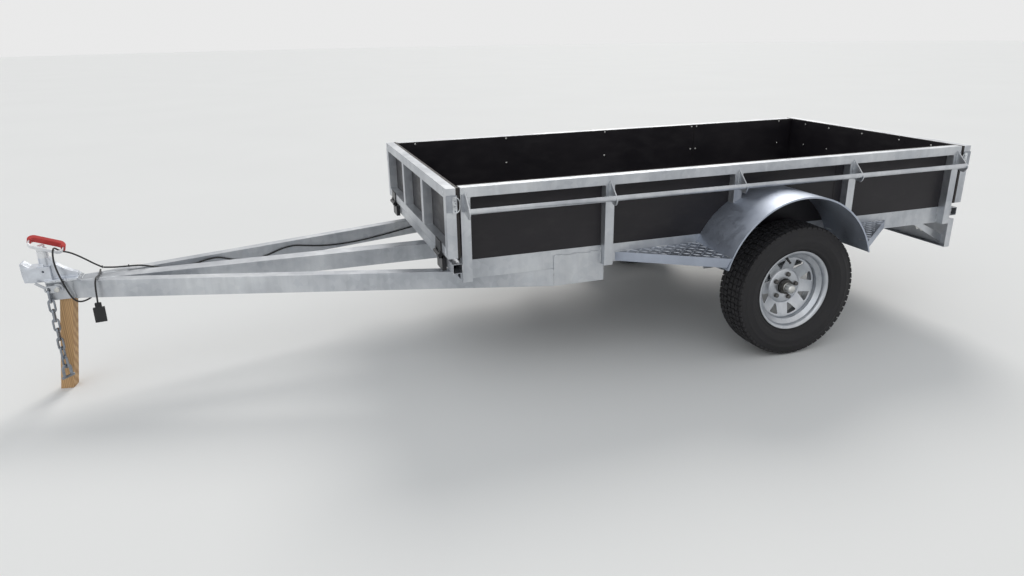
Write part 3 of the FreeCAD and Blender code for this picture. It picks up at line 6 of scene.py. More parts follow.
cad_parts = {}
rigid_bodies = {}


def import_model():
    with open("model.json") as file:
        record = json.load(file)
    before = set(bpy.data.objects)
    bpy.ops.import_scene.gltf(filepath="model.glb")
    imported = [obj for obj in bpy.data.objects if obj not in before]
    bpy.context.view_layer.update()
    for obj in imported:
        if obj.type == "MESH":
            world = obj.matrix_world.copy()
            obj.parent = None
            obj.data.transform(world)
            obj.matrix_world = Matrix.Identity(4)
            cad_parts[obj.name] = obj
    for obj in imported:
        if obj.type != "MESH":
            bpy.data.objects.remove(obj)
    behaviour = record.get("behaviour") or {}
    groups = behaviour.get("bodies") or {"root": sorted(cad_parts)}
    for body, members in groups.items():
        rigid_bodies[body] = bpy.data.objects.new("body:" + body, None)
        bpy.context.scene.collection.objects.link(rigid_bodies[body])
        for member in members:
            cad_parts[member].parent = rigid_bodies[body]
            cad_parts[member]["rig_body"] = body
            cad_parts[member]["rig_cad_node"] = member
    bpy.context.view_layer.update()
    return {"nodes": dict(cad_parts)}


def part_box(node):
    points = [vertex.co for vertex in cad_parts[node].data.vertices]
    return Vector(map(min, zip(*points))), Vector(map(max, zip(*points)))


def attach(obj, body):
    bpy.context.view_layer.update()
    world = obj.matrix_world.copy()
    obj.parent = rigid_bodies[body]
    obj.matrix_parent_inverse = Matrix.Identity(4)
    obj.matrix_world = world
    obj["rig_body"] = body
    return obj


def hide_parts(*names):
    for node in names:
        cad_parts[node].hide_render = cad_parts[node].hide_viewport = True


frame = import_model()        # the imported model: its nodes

nodes = frame["nodes"]
print("frame loaded:", len(nodes), "nodes")


# small helpers

def pickOnly(*things):
    if bpy.context.object and bpy.context.object.mode != "OBJECT":
        bpy.ops.object.mode_set(mode="OBJECT")
    bpy.ops.object.select_all(action="DESELECT")
    for thing in things:
        thing.select_set(True)
    bpy.context.view_layer.objects.active = things[0]


def settle(thing):
    # bakes the object's place, turn and size into its mesh
    pickOnly(thing)
    bpy.ops.object.transform_apply(location=True, rotation=True, scale=True)
    return thing


def addModifier(thing, kind, **settings):
    pickOnly(thing)
    bpy.ops.object.modifier_add(type=kind)
    modifier = thing.modifiers[-1]
    for key, value in settings.items():
        setattr(modifier, key, value)
    bpy.ops.object.modifier_apply(modifier=modifier.name)


def cubeAt(spot, size, turn=(0, 0, 0)):
    bpy.ops.mesh.primitive_cube_add(size=1, location=spot, rotation=turn)
    cube = bpy.context.object
    cube.scale = size
    return settle(cube)


def duplicated(thing):
    pickOnly(thing)
    bpy.ops.object.duplicate()
    return bpy.context.object


def smoothShade(thing, angle=35):
    pickOnly(thing)
    bpy.ops.object.shade_smooth_by_angle(angle=math.radians(angle))


def openMesh():
    bpy.ops.object.mode_set(mode="EDIT")
    bpy.ops.mesh.select_all(action="SELECT")


def closeMesh():
    bpy.ops.mesh.select_all(action="SELECT")
    bpy.ops.mesh.normals_make_consistent(inside=False)
    bpy.ops.object.mode_set(mode="OBJECT")


def dress(thing, look):
    thing.data.materials.clear()
    thing.data.materials.append(look)


# camera: the photograph's own place and lens

cameraPlace = {"spot": (1.156, 3.368, 1.436), "yaw": -108.51, "pitch": -19.36, "roll": -0.93, "lens": 26.16}


def makeCamera():
    bpy.ops.object.camera_add(location=cameraPlace["spot"])
    camera = bpy.context.object
    yaw, pitch, roll = (math.radians(cameraPlace[key]) for key in ("yaw", "pitch", "roll"))
    ahead = Vector((math.cos(pitch) * math.cos(yaw), math.cos(pitch) * math.sin(yaw), math.sin(pitch)))
    side = Vector((math.sin(yaw), -math.cos(yaw), 0))
    up = side.cross(ahead)
    tiltedSide = side * math.cos(roll) + up * math.sin(roll)
    tiltedUp = up * math.cos(roll) - side * math.sin(roll)
    camera.rotation_mode = "QUATERNION"
    camera.rotation_quaternion = Matrix((tiltedSide, tiltedUp, -ahead)).transposed().to_quaternion()
    camera.data.sensor_width = 36
    camera.data.lens = cameraPlace["lens"]
    bpy.context.scene.camera = camera


makeCamera()
print("camera set")


# materials

def startLook(name, **values):
    look = bpy.data.materials.new(name)
    look.use_nodes = True
    tree = look.node_tree
    shader = next(item for item in tree.nodes if item.type == "BSDF_PRINCIPLED")
    for key, value in values.items():
        shader.inputs[key].default_value = value
    return look, tree, shader


def put(tree, kind, links=None, values=None, **settings):
    item = tree.nodes.new(kind)
    for key, value in settings.items():
        setattr(item, key, value)
    for key, value in (values or {}).items():
        item.inputs[key].default_value = value
    for key, source in (links or {}).items():
        tree.links.new(source, item.inputs[key])
    return item


def objectPlace(tree, scale=(1, 1, 1), turn=(0, 0, 0), shift=(0, 0, 0)):
    place = put(tree, "ShaderNodeTexCoord")
    mapping = put(tree, "ShaderNodeMapping", {"Vector": place.outputs["Object"]})
    mapping.inputs["Location"].default_value = shift
    mapping.inputs["Rotation"].default_value = [math.radians(angle) for angle in turn]
    mapping.inputs["Scale"].default_value = scale
    return mapping.outputs["Vector"]


def noise(tree, place, scale, detail=3.0, roughness=0.5):
    item = put(tree, "ShaderNodeTexNoise", {"Vector": place},
               {"Scale": scale, "Detail": detail, "Roughness": roughness})
    return item.outputs["Fac"]


def ramp(tree, source, *stops):
    item = put(tree, "ShaderNodeValToRGB", {"Fac": source})
    band = item.color_ramp
    while len(band.elements) < len(stops):
        band.elements.new(0.5)
    for element, (spot, colour) in zip(band.elements, stops):
        element.position = spot
        element.color = tuple(colour) + (1,)
    return item.outputs["Color"]


def spread(tree, source, low, high, fromLow=0.3, fromHigh=0.7):
    item = put(tree, "ShaderNodeMapRange", {"Value": source},
               {"From Min": fromLow, "From Max": fromHigh, "To Min": low, "To Max": high})
    return item.outputs["Result"]


def mixed(tree, amount, first, second, way="MIX"):
    item = put(tree, "ShaderNodeMix", data_type="RGBA", blend_type=way)
    for socket, value in ((item.inputs[0], amount), (item.inputs[6], first), (item.inputs[7], second)):
        if hasattr(value, "is_output"):
            tree.links.new(value, socket)
        else:
            socket.default_value = value if isinstance(value, (int, float)) else tuple(value) + (1,)
    return item.outputs[2]


def feed(tree, shader, colour, rough):
    tree.links.new(colour, shader.inputs["Base Color"])
    tree.links.new(rough, shader.inputs["Roughness"])


def bump(tree, shader, height, strength, distance):
    item = put(tree, "ShaderNodeBump", {"Height": height}, {"Strength": strength, "Distance": distance})
    tree.links.new(item.outputs["Normal"], shader.inputs["Normal"])


white = (1, 1, 1)

galvanised = {"pale": (0.66, 0.68, 0.7), "middle": (0.53, 0.55, 0.58), "dull": (0.4, 0.42, 0.45),
              "fleck": (0.25, 0.27, 0.3), "streak": (0.3, 0.3, 0.32), "metallic": 0.82,
              "smooth": 0.3, "rough": 0.52, "spangle": 42, "runs": 22}


def galvanisedLook(name, tone=1.0, smooth=0.0, fleck=0.1, streak=0.14, tint=(1.0, 1.0, 1.0)):
    look, tree, shader = startLook(name, Metallic=galvanised["metallic"])
    place = objectPlace(tree)
    cloud = noise(tree, place, 3.5, 4)
    grain = put(tree, "ShaderNodeTexVoronoi", {"Vector": place}, {"Scale": galvanised["spangle"]})
    grainTone = put(tree, "ShaderNodeSeparateColor", {"Color": grain.outputs["Color"]}).outputs[0]
    runs = noise(tree, objectPlace(tree, (1, 1, 0.07)), galvanised["runs"], 3, 0.6)
    # for the mudguard and step looks, tone and tint carry painted light: blue for painted sky reflection,
    # darker for painted dark reflection, brighter for painted highlight
    base = ramp(tree, cloud, *[
        (spot, [c * tone * part for c, part in zip(galvanised[key], tint)])
        for spot, key in ((0.3, "dull"), (0.5, "middle"), (0.72, "pale"))])
    spangle = ramp(tree, grainTone, (0, galvanised["fleck"]), (1, white))
    flecked = mixed(tree, fleck, base, spangle, "OVERLAY")
    drips = ramp(tree, runs, (0.35, galvanised["streak"]), (0.62, white))
    streaked = mixed(tree, streak, flecked, drips, "MULTIPLY")
    fine = noise(tree, place, 260, 2)
    rough = put(tree, "ShaderNodeMath", {0: cloud, 1: grainTone}, {2: 0.0}, operation="MULTIPLY_ADD")
    tree.links.new(fine, rough.inputs[2])
    least, most = galvanised["smooth"] + smooth, galvanised["rough"] + smooth
    shine = spread(tree, rough.outputs[0], least, most, 0.3, 1.3)
    feed(tree, shader, streaked, shine)
    bump(tree, shader, fine, 0.12, 0.0006)
    return look


boardSheet = {"face": (0.0095, 0.0082, 0.011), "worn": (0.019, 0.0165, 0.0195),
              "dust": (0.034, 0.031, 0.032), "smooth": 0.3, "rough": 0.46, "shine": 0.34}


def boardLook(name):
    look, tree, shader = startLook(name)
    shader.inputs["Specular IOR Level"].default_value = boardSheet["shine"]
    place = objectPlace(tree)
    cloud = noise(tree, place, 2.6, 5, 0.6)
    rubbed = noise(tree, objectPlace(tree, (1, 1, 2.5), (0, 20, 10)), 9, 4, 0.65)
    face = ramp(tree, cloud, (0.35, boardSheet["face"]), (0.75, boardSheet["worn"]))
    dusty = mixed(tree, spread(tree, rubbed, 0, 0.35, 0.5, 0.8), face, boardSheet["dust"])
    shine = spread(tree, rubbed, boardSheet["smooth"], boardSheet["rough"])
    feed(tree, shader, dusty, shine)
    fine = noise(tree, place, 420, 2)
    bump(tree, shader, fine, 0.08, 0.0004)
    return look


def plainLook(name, colour, rough, metallic=0.0, grain=120, vary=0.25, lift=0.1, depth=0.0005):
    # one colour broken by a soft cloud and a fine grain
    look, tree, shader = startLook(name, Metallic=metallic)
    place = objectPlace(tree)
    cloud = noise(tree, place, grain / 10, 4, 0.6)
    low = [c * (1 - vary) for c in colour]
    high = [min(1, c * (1 + vary)) for c in colour]
    shine = spread(tree, cloud, max(0.05, rough - 0.08), rough + 0.08)
    feed(tree, shader, ramp(tree, cloud, (0.32, low), (0.68, high)), shine)
    bump(tree, shader, noise(tree, place, grain, 2), lift, depth)
    return look


# shift and turn set where the rings run through the timber
pine = {"pale": (0.62, 0.4, 0.2), "dark": (0.36, 0.19, 0.08), "fibre": (0.55, 0.5, 0.45),
        "rings": 46, "fibres": 160, "shift": (-0.035, -0.06, 0), "turn": (0, 8, 11)}


def pineLook(name):
    look, tree, shader = startLook(name)
    place = objectPlace(tree, (1, 1, 0.05), pine["turn"], pine["shift"])
    wobble = noise(tree, place, 14, 3)
    rings = put(tree, "ShaderNodeTexWave", {"Vector": place},
                {"Scale": pine["rings"], "Distortion": 3.5, "Detail": 2.0, "Detail Scale": 1.2},
                wave_type="RINGS", rings_direction="Z")
    stretched = objectPlace(tree, (1, 1, 0.03), pine["turn"], pine["shift"])
    fibre = noise(tree, stretched, pine["fibres"], 3, 0.6)
    grain = ramp(tree, rings.outputs["Fac"], (0.15, pine["pale"]), (0.9, pine["dark"]))
    patchy = mixed(tree, spread(tree, wobble, 0.1, 0.55), grain, pine["pale"])
    threads = ramp(tree, fibre, (0.35, pine["fibre"]), (0.65, white))
    fibred = mixed(tree, 0.35, patchy, threads, "MULTIPLY")
    feed(tree, shader, fibred, spread(tree, fibre, 0.62, 0.8))
    bump(tree, shader, fibre, 0.3, 0.0008)
    return look


looks = {
    "galvanised": galvanisedLook("galvanisedSteel"),
    # painted reflection: the mudguards' sheet is tinted blue for the sky it reflects
    "sheetSteel": galvanisedLook("galvanisedSheet", 0.8, 0.08, 0.04, 0.03, (0.92, 0.97, 1.08)),
    # painted highlight: the checker bars are brighter than the same steel elsewhere, for the glints on them
    "stepSteel": galvanisedLook("galvanisedSteps", 1.12, -0.04, 0.08, 0.06, (0.97, 0.99, 1.03)),
    "latchSteel": galvanisedLook("latchZinc", 0.6, -0.02, 0.12, 0.1, (0.97, 0.99, 1.03)),
    # painted reflection: the steps' tread tops are darkened and tinted blue for the dark sky they reflect
    "stepSheet": galvanisedLook("galvanisedStepTop", 0.6, 0.02, 0.1, 0.08, (0.93, 0.97, 1.06)),
    "handleZinc": plainLook("handleZinc", (0.78, 0.79, 0.81), 0.34, 0.55, 220, 0.06, 0.08),
    "wheelSteel": galvanisedLook("wheelZinc", 1.06, -0.04),
    "board": boardLook("filmFacedBoard"),
    "blackPaint": plainLook("blackHingePaint", (0.0075, 0.0075, 0.0095), 0.38, 0.0, 160, 0.3, 0.2),
    "casting": plainLook("zincCasting", (0.62, 0.65, 0.7), 0.33, 0.85, 300, 0.1, 0.25, 0.0008),
    "brightZinc": plainLook("brightZincFixings", (0.6, 0.6, 0.58), 0.3, 0.9, 220, 0.14, 0.08),
    "darkZinc": plainLook("darkZincNuts", (0.13, 0.125, 0.12), 0.34, 0.8, 200, 0.25, 0.12),
    "boardEdge": plainLook("boardEdgePly", (0.014, 0.011, 0.01), 0.62, 0.0, 340, 0.35, 0.3),
    "weld": plainLook("galvanisedWeld", (0.56, 0.58, 0.6), 0.36, 0.85, 420, 0.3, 0.35, 0.0006),
    "amberLens": plainLook("amberLens", (0.62, 0.16, 0.01), 0.14, 0.0, 60, 0.1, 0.02),
    "chainZinc": plainLook("chainZinc", (0.25, 0.27, 0.3), 0.34, 0.85, 180, 0.3, 0.15),
    "redGrip": plainLook("redGripPlastic", (0.52, 0.035, 0.03), 0.36, 0.0, 90, 0.12, 0.1),
    "rubber": plainLook("tyreRubber", (0.0125, 0.0118, 0.0135), 0.72, 0.0, 200, 0.3, 0.25),
    "hubCast": plainLook("greasedHubCasting", (0.055, 0.053, 0.05), 0.4, 0.55, 140, 0.35, 0.25),
    "cable": plainLook("cableSheath", (0.012, 0.012, 0.013), 0.45, 0.0, 400, 0.25, 0.08, 0.0002),
    "plugPlastic": plainLook("plugPlastic", (0.014, 0.014, 0.015), 0.5, 0.0, 500, 0.25, 0.2, 0.0003),
    "redLens": plainLook("redLens", (0.36, 0.01, 0.012), 0.12, 0.0, 60, 0.1, 0.02),
    "whitePlate": plainLook("blankPlatePaint", (0.74, 0.74, 0.72), 0.3, 0.0, 60, 0.05, 0.02),
    "pine": pineLook("sawnPine"),
}

# by node without its side or end; what isn't named here is galvanised
finishes = {
    "side_panels": "board", "floor_panel": "board", "gate_panel": "board",
    "hinge_brackets": "blackPaint", "gate_hinge_leaves": "blackPaint",
    "latch_keepers": "latchSteel", "gate_latches": "latchSteel",
    "coupling_body": "casting", "coupling_handle": "handleZinc", "coupling_grip": "redGrip",
    # the mudguards' blue tint is a painted sky reflection
    "spring_clamps": "brightZinc", "mudguards": "sheetSteel", "tail_lamps": "redLens",
    "number_plate": "whitePlate", "timber_prop": "pine", "safety_chain": "chainZinc",
    "wiring_harness": "cable", "trailer_lead": "cable", "lead_plug": "plugPlastic",
    "tyre": "rubber", "rim": "wheelSteel", "hub": "hubCast", "wheel_nuts": "darkZinc",
}


def shortName(node):
    short = node.replace("_left", "").replace("_right", "")
    return short.replace("front_gate", "gate").replace("rear_gate", "gate")


for node, thing in nodes.items():
    dress(thing, looks[finishes.get(shortName(node), "galvanised")])
print("materials made:", len(looks))


# lead: a free cord from the tie on the drawbar to its plug, on the same route as the solid

lead = {"width": 0.007, "long": 0.938, "shiftX": 0.45, "around": 6, "steps": 8}
leadRoute = (
    (1.397, -0.0617, 0.4954), (1.42, -0.058, 0.511), (1.45, -0.051, 0.538), (1.478, -0.038, 0.564),
    (1.5, -0.025, 0.582), (1.52, -0.013, 0.592), (1.533, -0.003, 0.601), (1.539, 0.011, 0.614),
    (1.5415, 0.026, 0.6175), (1.543, 0.041, 0.609), (1.544, 0.05, 0.59), (1.5445, 0.0525, 0.562),
    (1.54, 0.053, 0.527), (1.532, 0.0535, 0.491), (1.5235, 0.054, 0.458), (1.5145, 0.054, 0.428),
    (1.504, 0.049, 0.4), (1.49, 0.035, 0.383), (1.475, 0.013, 0.377), (1.459, -0.015, 0.377),
    (1.446, -0.044, 0.3835), (1.436, -0.068, 0.398), (1.428, -0.081, 0.422), (1.42, -0.084, 0.45),
    (1.412, -0.078, 0.4755), (1.406, -0.06, 0.4875), (1.403, -0.035, 0.4855), (1.403, -0.009, 0.4811),
    (1.404, 0.018, 0.4814), (1.404, 0.044, 0.486), (1.405, 0.068, 0.4855), (1.407, 0.084, 0.4705),
    (1.4085, 0.089, 0.446), (1.41, 0.088, 0.4165), (1.412, 0.086, 0.3857),
)
leadPath = [(x + lead["shiftX"], y, z) for x, y, z in leadRoute]


def barAlong(name, route, width, around, steps):
    # a bent round bar or cable along a route
    curve = bpy.data.curves.new(name, "CURVE")
    curve.dimensions = "3D"
    spline = curve.splines.new("NURBS")
    spline.points.add(len(route) - 1)
    for point, spot in zip(spline.points, route):
        point.co = (*spot, 1)
    spline.order_u = 3
    spline.use_endpoint_u = True
    curve.bevel_depth = width / 2
    curve.bevel_resolution = around
    curve.resolution_u = steps
    curve.use_fill_caps = True
    return placed(name, curve)


def placed(name, curve):
    thing = bpy.data.objects.new(name, curve)
    bpy.context.scene.collection.objects.link(thing)
    return thing


def makeLead():
    cord = barAlong("trailerLead", leadPath, lead["width"], lead["around"], lead["steps"])
    dress(cord, looks["cable"])
    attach(cord, "chassis")
    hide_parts("trailer_lead")
    return cord


leadCord = makeLead()
print("lead laid")


# rounded edges on tube, plate and board, in mm: each solid's copy is merged and bevelled

roundings = {
    "side_rails": 3.5, "cross_members": 3, "end_rails": 3, "posts": 3, "top_rails": 3, "drawbar_beams": 4,
    "centre_beam": 5, "axle_beam": 4, "lamp_board": 2, "gate_frame": 3, "drawbar_gussets": 1,
    "mudguards": 0.6, "hub": 1, "rope_rails": 0.6, "latch_keepers": 0.8, "gate_latches": 0.8,
    "gate_hinge_leaves": 0.8, "spring_hangers": 0.8, "spring_clamps": 0.6, "leaf_springs": 0.5,
    "side_panels": 0.8, "floor_panel": 0.8, "gate_panel": 0.8, "timber_prop": 1.6,
    "hinge_brackets": 1.5, "coupling_plate": 1, "number_plate": 0.5,
}


bodyOf = {node: thing["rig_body"] for node, thing in nodes.items()}


def mergedCopy(node, name):
    piece = duplicated(nodes[node])
    bpy.ops.object.parent_clear(type="CLEAR_KEEP_TRANSFORM")
    del piece["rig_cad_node"]
    piece.name = name
    openMesh()
    bpy.ops.mesh.customdata_custom_splitnormals_clear()
    bpy.ops.mesh.remove_doubles(threshold=0.00002)
    bpy.ops.mesh.tris_convert_to_quads(face_threshold=math.radians(1), shape_threshold=math.radians(150))
    bpy.ops.object.mode_set(mode="OBJECT")
    return piece


def standIn(piece, node):
    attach(piece, bodyOf[node])
    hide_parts(node)
    return piece


# where boards butt end to end: place along the trailer, width of the gap, reach across and up
seams = {"side_panels": (-1.35, 0.0014, 1.3, 1.0)}


def cutAway(piece, cutter):
    addModifier(piece, "BOOLEAN", operation="DIFFERENCE", object=cutter, solver="EXACT")
    bpy.data.objects.remove(cutter)


def cutSeams(piece, along, gap, across, high):
    cutAway(piece, cubeAt((along, 0, high / 2), (gap, across, high * 1.1)))


# the rope rails stop at their end gussets
ropeEnds = (-2.0345, 0.4335)


def trimEnds(piece, low, high):
    for vertex in piece.data.vertices:
        vertex.co.x = min(max(vertex.co.x, low), high)


def roundedCopy(node, radius):
    piece = mergedCopy(node, node + "_rounded")
    if node == "rope_rails":
        trimEnds(piece, *ropeEnds)
    if node in seams:
        cutSeams(piece, *seams[node])
    addModifier(piece, "BEVEL", width=radius / 1000, segments=2, limit_method="ANGLE",
                angle_limit=math.radians(40), miter_outer="MITER_ARC", use_clamp_overlap=True)
    smoothShade(piece, 40)
    addModifier(piece, "WEIGHTED_NORMAL", keep_sharp=True, weight=80)
    return standIn(piece, node)


rounded = {node: roundedCopy(node, radius)
           for short, radius in roundings.items() for node in nodes if shortName(node) == short}

# the thin side of each board gets a near-black look of its own: node, and the way its face looks
boardFaces = {"side_panels": 1, "floor_panel": 2, "front_gate_panel": 0, "rear_gate_panel": 0}
for node, axis in boardFaces.items():
    board = rounded[node]
    board.data.materials.append(looks["boardEdge"])
    for face in board.data.polygons:
        face.material_index = 0 if abs(face.normal[axis]) > 0.7 else 1

# painted reflection: the tread of each step is darker and bluer than its bars, for the dark sky it reflects:
# how level its faces are, and their height
paintedReflectionTread = {"level": 0.98, "low": 0.515, "high": 0.522}
guards = rounded["mudguards"]
guards.data.materials.append(looks["stepSheet"])
for face in guards.data.polygons:
    if face.normal.z > paintedReflectionTread["level"] and paintedReflectionTread["low"] < face.center.z < paintedReflectionTread["high"]:
        face.material_index = 1
print("edges rounded:", len(rounded))


# castings, grip and chain: each solid's copy is remeshed and its corners smoothed away
# voxel and grow are in mm; grow thickens the strip of the handle

castings = {
    "coupling_body": {"voxel": 1.2, "rounds": 5}, "coupling_grip": {"voxel": 0.8, "rounds": 6},
    "coupling_handle": {"voxel": 0.8, "rounds": 2, "grow": 0.9},
    "safety_chain": {"voxel": 0.75, "rounds": 4}, "chain_lug": {"voxel": 0.8, "rounds": 2},
    "lead_plug": {"voxel": 0.8, "rounds": 3},
}


def castCopy(node, voxel, rounds, grow=0):
    piece = mergedCopy(node, node + "_cast")
    addModifier(piece, "REMESH", mode="VOXEL", voxel_size=voxel / 1000, adaptivity=0)
    addModifier(piece, "SMOOTH", factor=0.5, iterations=rounds)
    if grow:
        addModifier(piece, "DISPLACE", strength=grow / 1000, mid_level=0)
    pickOnly(piece)
    bpy.ops.object.shade_smooth()
    return standIn(piece, node)


casts = {node: castCopy(node, **shape) for node, shape in castings.items()}
print("castings smoothed:", len(casts))


# turned shapes: a circle across the axle is drawn out ring by ring

def ringOut(name, centre, rings, around=96, closed=True):
    # rings are (radius, place along Y); the first and last are joined when closed
    radius, along = rings[0]
    bpy.ops.object.select_all(action="DESELECT")
    bpy.ops.mesh.primitive_circle_add(vertices=around, radius=radius, fill_type="NOTHING",
                                      location=(centre[0], centre[1] + along, centre[2]),
                                      rotation=(math.radians(90), 0, 0))
    piece = bpy.context.object
    piece.name = name
    settle(piece)
    openMesh()
    for nextRadius, nextAlong in rings[1:]:
        bpy.ops.mesh.extrude_region_move()
        ratio = nextRadius / radius
        bpy.ops.transform.resize(value=(ratio, 1, ratio), center_override=tuple(centre))
        bpy.ops.transform.translate(value=(0, nextAlong - along, 0))
        radius, along = nextRadius, nextAlong
    if closed:
        bridgeEnds(piece, centre, (rings[0], rings[-1]))
    closeMesh()
    return piece


def bridgeEnds(piece, centre, ends):
    near = 1e-5
    bpy.ops.object.mode_set(mode="OBJECT")
    for vertex in piece.data.vertices:
        reach = math.hypot(vertex.co.x - centre[0], vertex.co.z - centre[2])
        vertex.select = any(abs(reach - radius) < near and abs(vertex.co.y - centre[1] - along) < near
                            for radius, along in ends)
    bpy.ops.object.mode_set(mode="EDIT")
    bpy.ops.mesh.select_mode(type="VERT")
    bpy.ops.mesh.select_mode(type="EDGE")
    bpy.ops.mesh.bridge_edge_loops()


def spinRound(count, middle):
    bpy.ops.mesh.select_all(action="SELECT")
    bpy.ops.mesh.spin(steps=count - 1, dupli=True, angle=2 * math.pi * (count - 1) / count,
                      center=middle, axis=(0, 1, 0))


# wheels: a rim and its dished disc drawn out in rings, with windows pressed through the disc

wheel = {
    "around": 120, "edge": 0.0009,
    "rim": (
        (0.168, 0.05), (0.17, 0.0535), (0.174, 0.0556), (0.1805, 0.056), (0.183, 0.057), (0.183, 0.0592),
        (0.1815, 0.06), (0.1765, 0.059), (0.1712, 0.0562), (0.1675, 0.051), (0.165, 0.044),
        (0.165, 0.038), (0.145, 0.026),
    ),
    "disc": (
        (0.145, 0.004), (0.1425, 0.0042), (0.1412, 0.01), (0.138, 0.0104), (0.12, 0.004), (0.1, -0.004),
        (0.084, -0.0118), (0.0806, -0.013), (0.0775, -0.0118), (0.075, -0.0096), (0.0725, -0.009),
        (0.036, -0.009), (0.036, -0.013), (0.0725, -0.013), (0.0806, -0.017), (0.1, -0.008), (0.12, 0.0),
        (0.138, 0.0062), (0.139, -0.001), (0.145, -0.002),
    ),
    "back": (
        (0.145, -0.026), (0.165, -0.038), (0.165, -0.06), (0.183, -0.06), (0.183, -0.056),
        (0.168, -0.056), (0.168, -0.036), (0.148, -0.024), (0.148, 0.024), (0.168, 0.036),
    ),
}
# windows: corners as radius and half width, and the turn that the photo shows
windows = {"corners": ((0.088, 0.003), (0.1285, 0.025), (0.132, 0.013)), "count": 8, "turn": 26.5,
           "round": 0.006, "halfDepth": 0.04}


def pressWindows(piece, middle):
    outline = [(radius, -half) for radius, half in windows["corners"]]
    outline += [(radius, half) for radius, half in reversed(windows["corners"])]
    bpy.ops.mesh.primitive_circle_add(vertices=len(outline), fill_type="NGON")
    cutter = bpy.context.object
    for vertex, (x, z) in zip(cutter.data.vertices, outline):
        vertex.co = (x, -windows["halfDepth"], z)
    addModifier(cutter, "BEVEL", width=windows["round"], segments=4, affect="VERTICES")
    openMesh()
    bpy.ops.mesh.extrude_region_move()
    bpy.ops.transform.translate(value=(0, 2 * windows["halfDepth"], 0))
    spinRound(windows["count"], (0, 0, 0))
    closeMesh()
    cutter.location = middle
    cutter.rotation_euler = (0, -math.radians(windows["turn"]), 0)
    cutAway(piece, settle(cutter))


def makeRim(side, middle):
    hand = 1 if side == "left" else -1
    rings = [(radius, hand * along) for radius, along in wheel["rim"] + wheel["disc"] + wheel["back"]]
    piece = ringOut("rim_drawn_" + side, middle, rings, wheel["around"])
    pressWindows(piece, middle)
    addModifier(piece, "BEVEL", width=wheel["edge"], segments=2, limit_method="ANGLE",
                angle_limit=math.radians(50), use_clamp_overlap=True)
    smoothShade(piece, 38)
    dress(piece, looks["wheelSteel"])
    return standIn(piece, "rim_" + side)


# tyres: a carcass drawn out in rings, with rows of tread blocks spun round it

# rows: place across the tread, width, part of the pitch that a block fills, and its skew
tyre = {
    "around": 128, "grooveRadius": 0.2945, "treadRadius": 0.301, "pitches": 66,
    "rows": (
        (0.0, 0.021, 0.8, 0), (0.0275, 0.021, 0.82, 12), (0.052, 0.018, 0.8, -12), (0.072, 0.012, 0.8, 0),
    ),
    "root": 0.004, "crown": 0.0025, "shoulder": 0.07, "shoulderDrop": 0.002, "shoulderTilt": 10,
    "section": (
        (0.1705, 0.053), (0.179, 0.0545), (0.1845, 0.0556), (0.1875, 0.0585), (0.1915, 0.064),
        (0.195, 0.0678), (0.1985, 0.0694), (0.2005, 0.069), (0.208, 0.0742), (0.22, 0.08),
        (0.231, 0.0834), (0.233, 0.0843), (0.235, 0.0838), (0.247, 0.0836), (0.26, 0.0825),
        (0.2615, 0.0832), (0.264, 0.0832), (0.2655, 0.082), (0.274, 0.0804), (0.283, 0.0782),
        (0.289, 0.075), (0.293, 0.0695), (0.2945, 0.06), (0.295, 0.03),
    ),
    "inside": (
        (0.19, -0.048), (0.22, -0.064), (0.26, -0.07), (0.284, -0.06), (0.286, 0.0), (0.284, 0.06),
        (0.26, 0.07), (0.22, 0.064), (0.19, 0.048),
    ),
}


def makeTyre(side, middle):
    outside = tyre["section"]
    rings = outside + tuple((radius, -along) for radius, along in reversed(outside)) + tyre["inside"]
    piece = ringOut("tyre_carcass_" + side, middle, rings, tyre["around"])
    smoothShade(piece, 50)
    pickOnly(piece, makeTreadBlocks(middle))
    bpy.ops.object.join()
    piece.name = "tyre_tread_" + side
    dress(piece, looks["rubber"])
    return standIn(piece, "tyre_" + side)


def makeTreadBlocks(middle):
    pitch = 2 * math.pi * tyre["treadRadius"] / tyre["pitches"]
    depth = tyre["treadRadius"] - tyre["grooveRadius"] + tyre["root"]
    widest = 0.0725
    blocks = []
    for along, width, fill, skew in tyre["rows"]:
        outer = along > tyre["shoulder"]
        drop = tyre["crown"] * (along / widest) ** 2 + (tyre["shoulderDrop"] if outer else 0)
        tilt = tyre["shoulderTilt"] if outer else 2 * along / 0.05
        for hand in ((1,) if along == 0 else (1, -1)):
            spot = (middle[0] + (pitch * 0.5 if hand < 0 else 0), middle[1] + hand * along,
                    middle[2] + tyre["treadRadius"] - drop - depth / 2)
            turn = (-hand * math.radians(tilt), 0, hand * math.radians(skew))
            block = cubeAt(spot, (pitch * fill, width, depth), turn)
            addModifier(block, "BEVEL", width=0.0011, segments=1, limit_method="ANGLE")
            blocks.append(block)
    pickOnly(*blocks)
    bpy.ops.object.join()
    openMesh()
    spinRound(tyre["pitches"], middle)
    closeMesh()
    return bpy.context.object


wheelMiddle = {}
for side in ("left", "right"):
    low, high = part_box("tyre_" + side)
    wheelMiddle[side] = tuple((low + high) / 2)
    makeTyre(side, wheelMiddle[side])
    makeRim(side, wheelMiddle[side])
print("tyres and rims made")


# shared ways of building the small pieces

patterns = []


def turnedPattern(name, rings, around=20):
    # a solid of revolution about Y, kept as a pattern to be copied
    piece = ringOut(name, (0, 0, 0), rings, around, closed=False)
    openMesh()
    bpy.ops.mesh.fill_holes(sides=0)
    closeMesh()
    return kept(piece, 40)


def kept(piece, angle=35):
    smoothShade(piece, angle)
    patterns.append(piece)
    return piece


def meshOf(thing):
    pickOnly(thing)
    bpy.ops.object.convert(target="MESH")
    openMesh()
    bpy.ops.mesh.remove_doubles(threshold=0.00001)
    closeMesh()
    return bpy.context.object


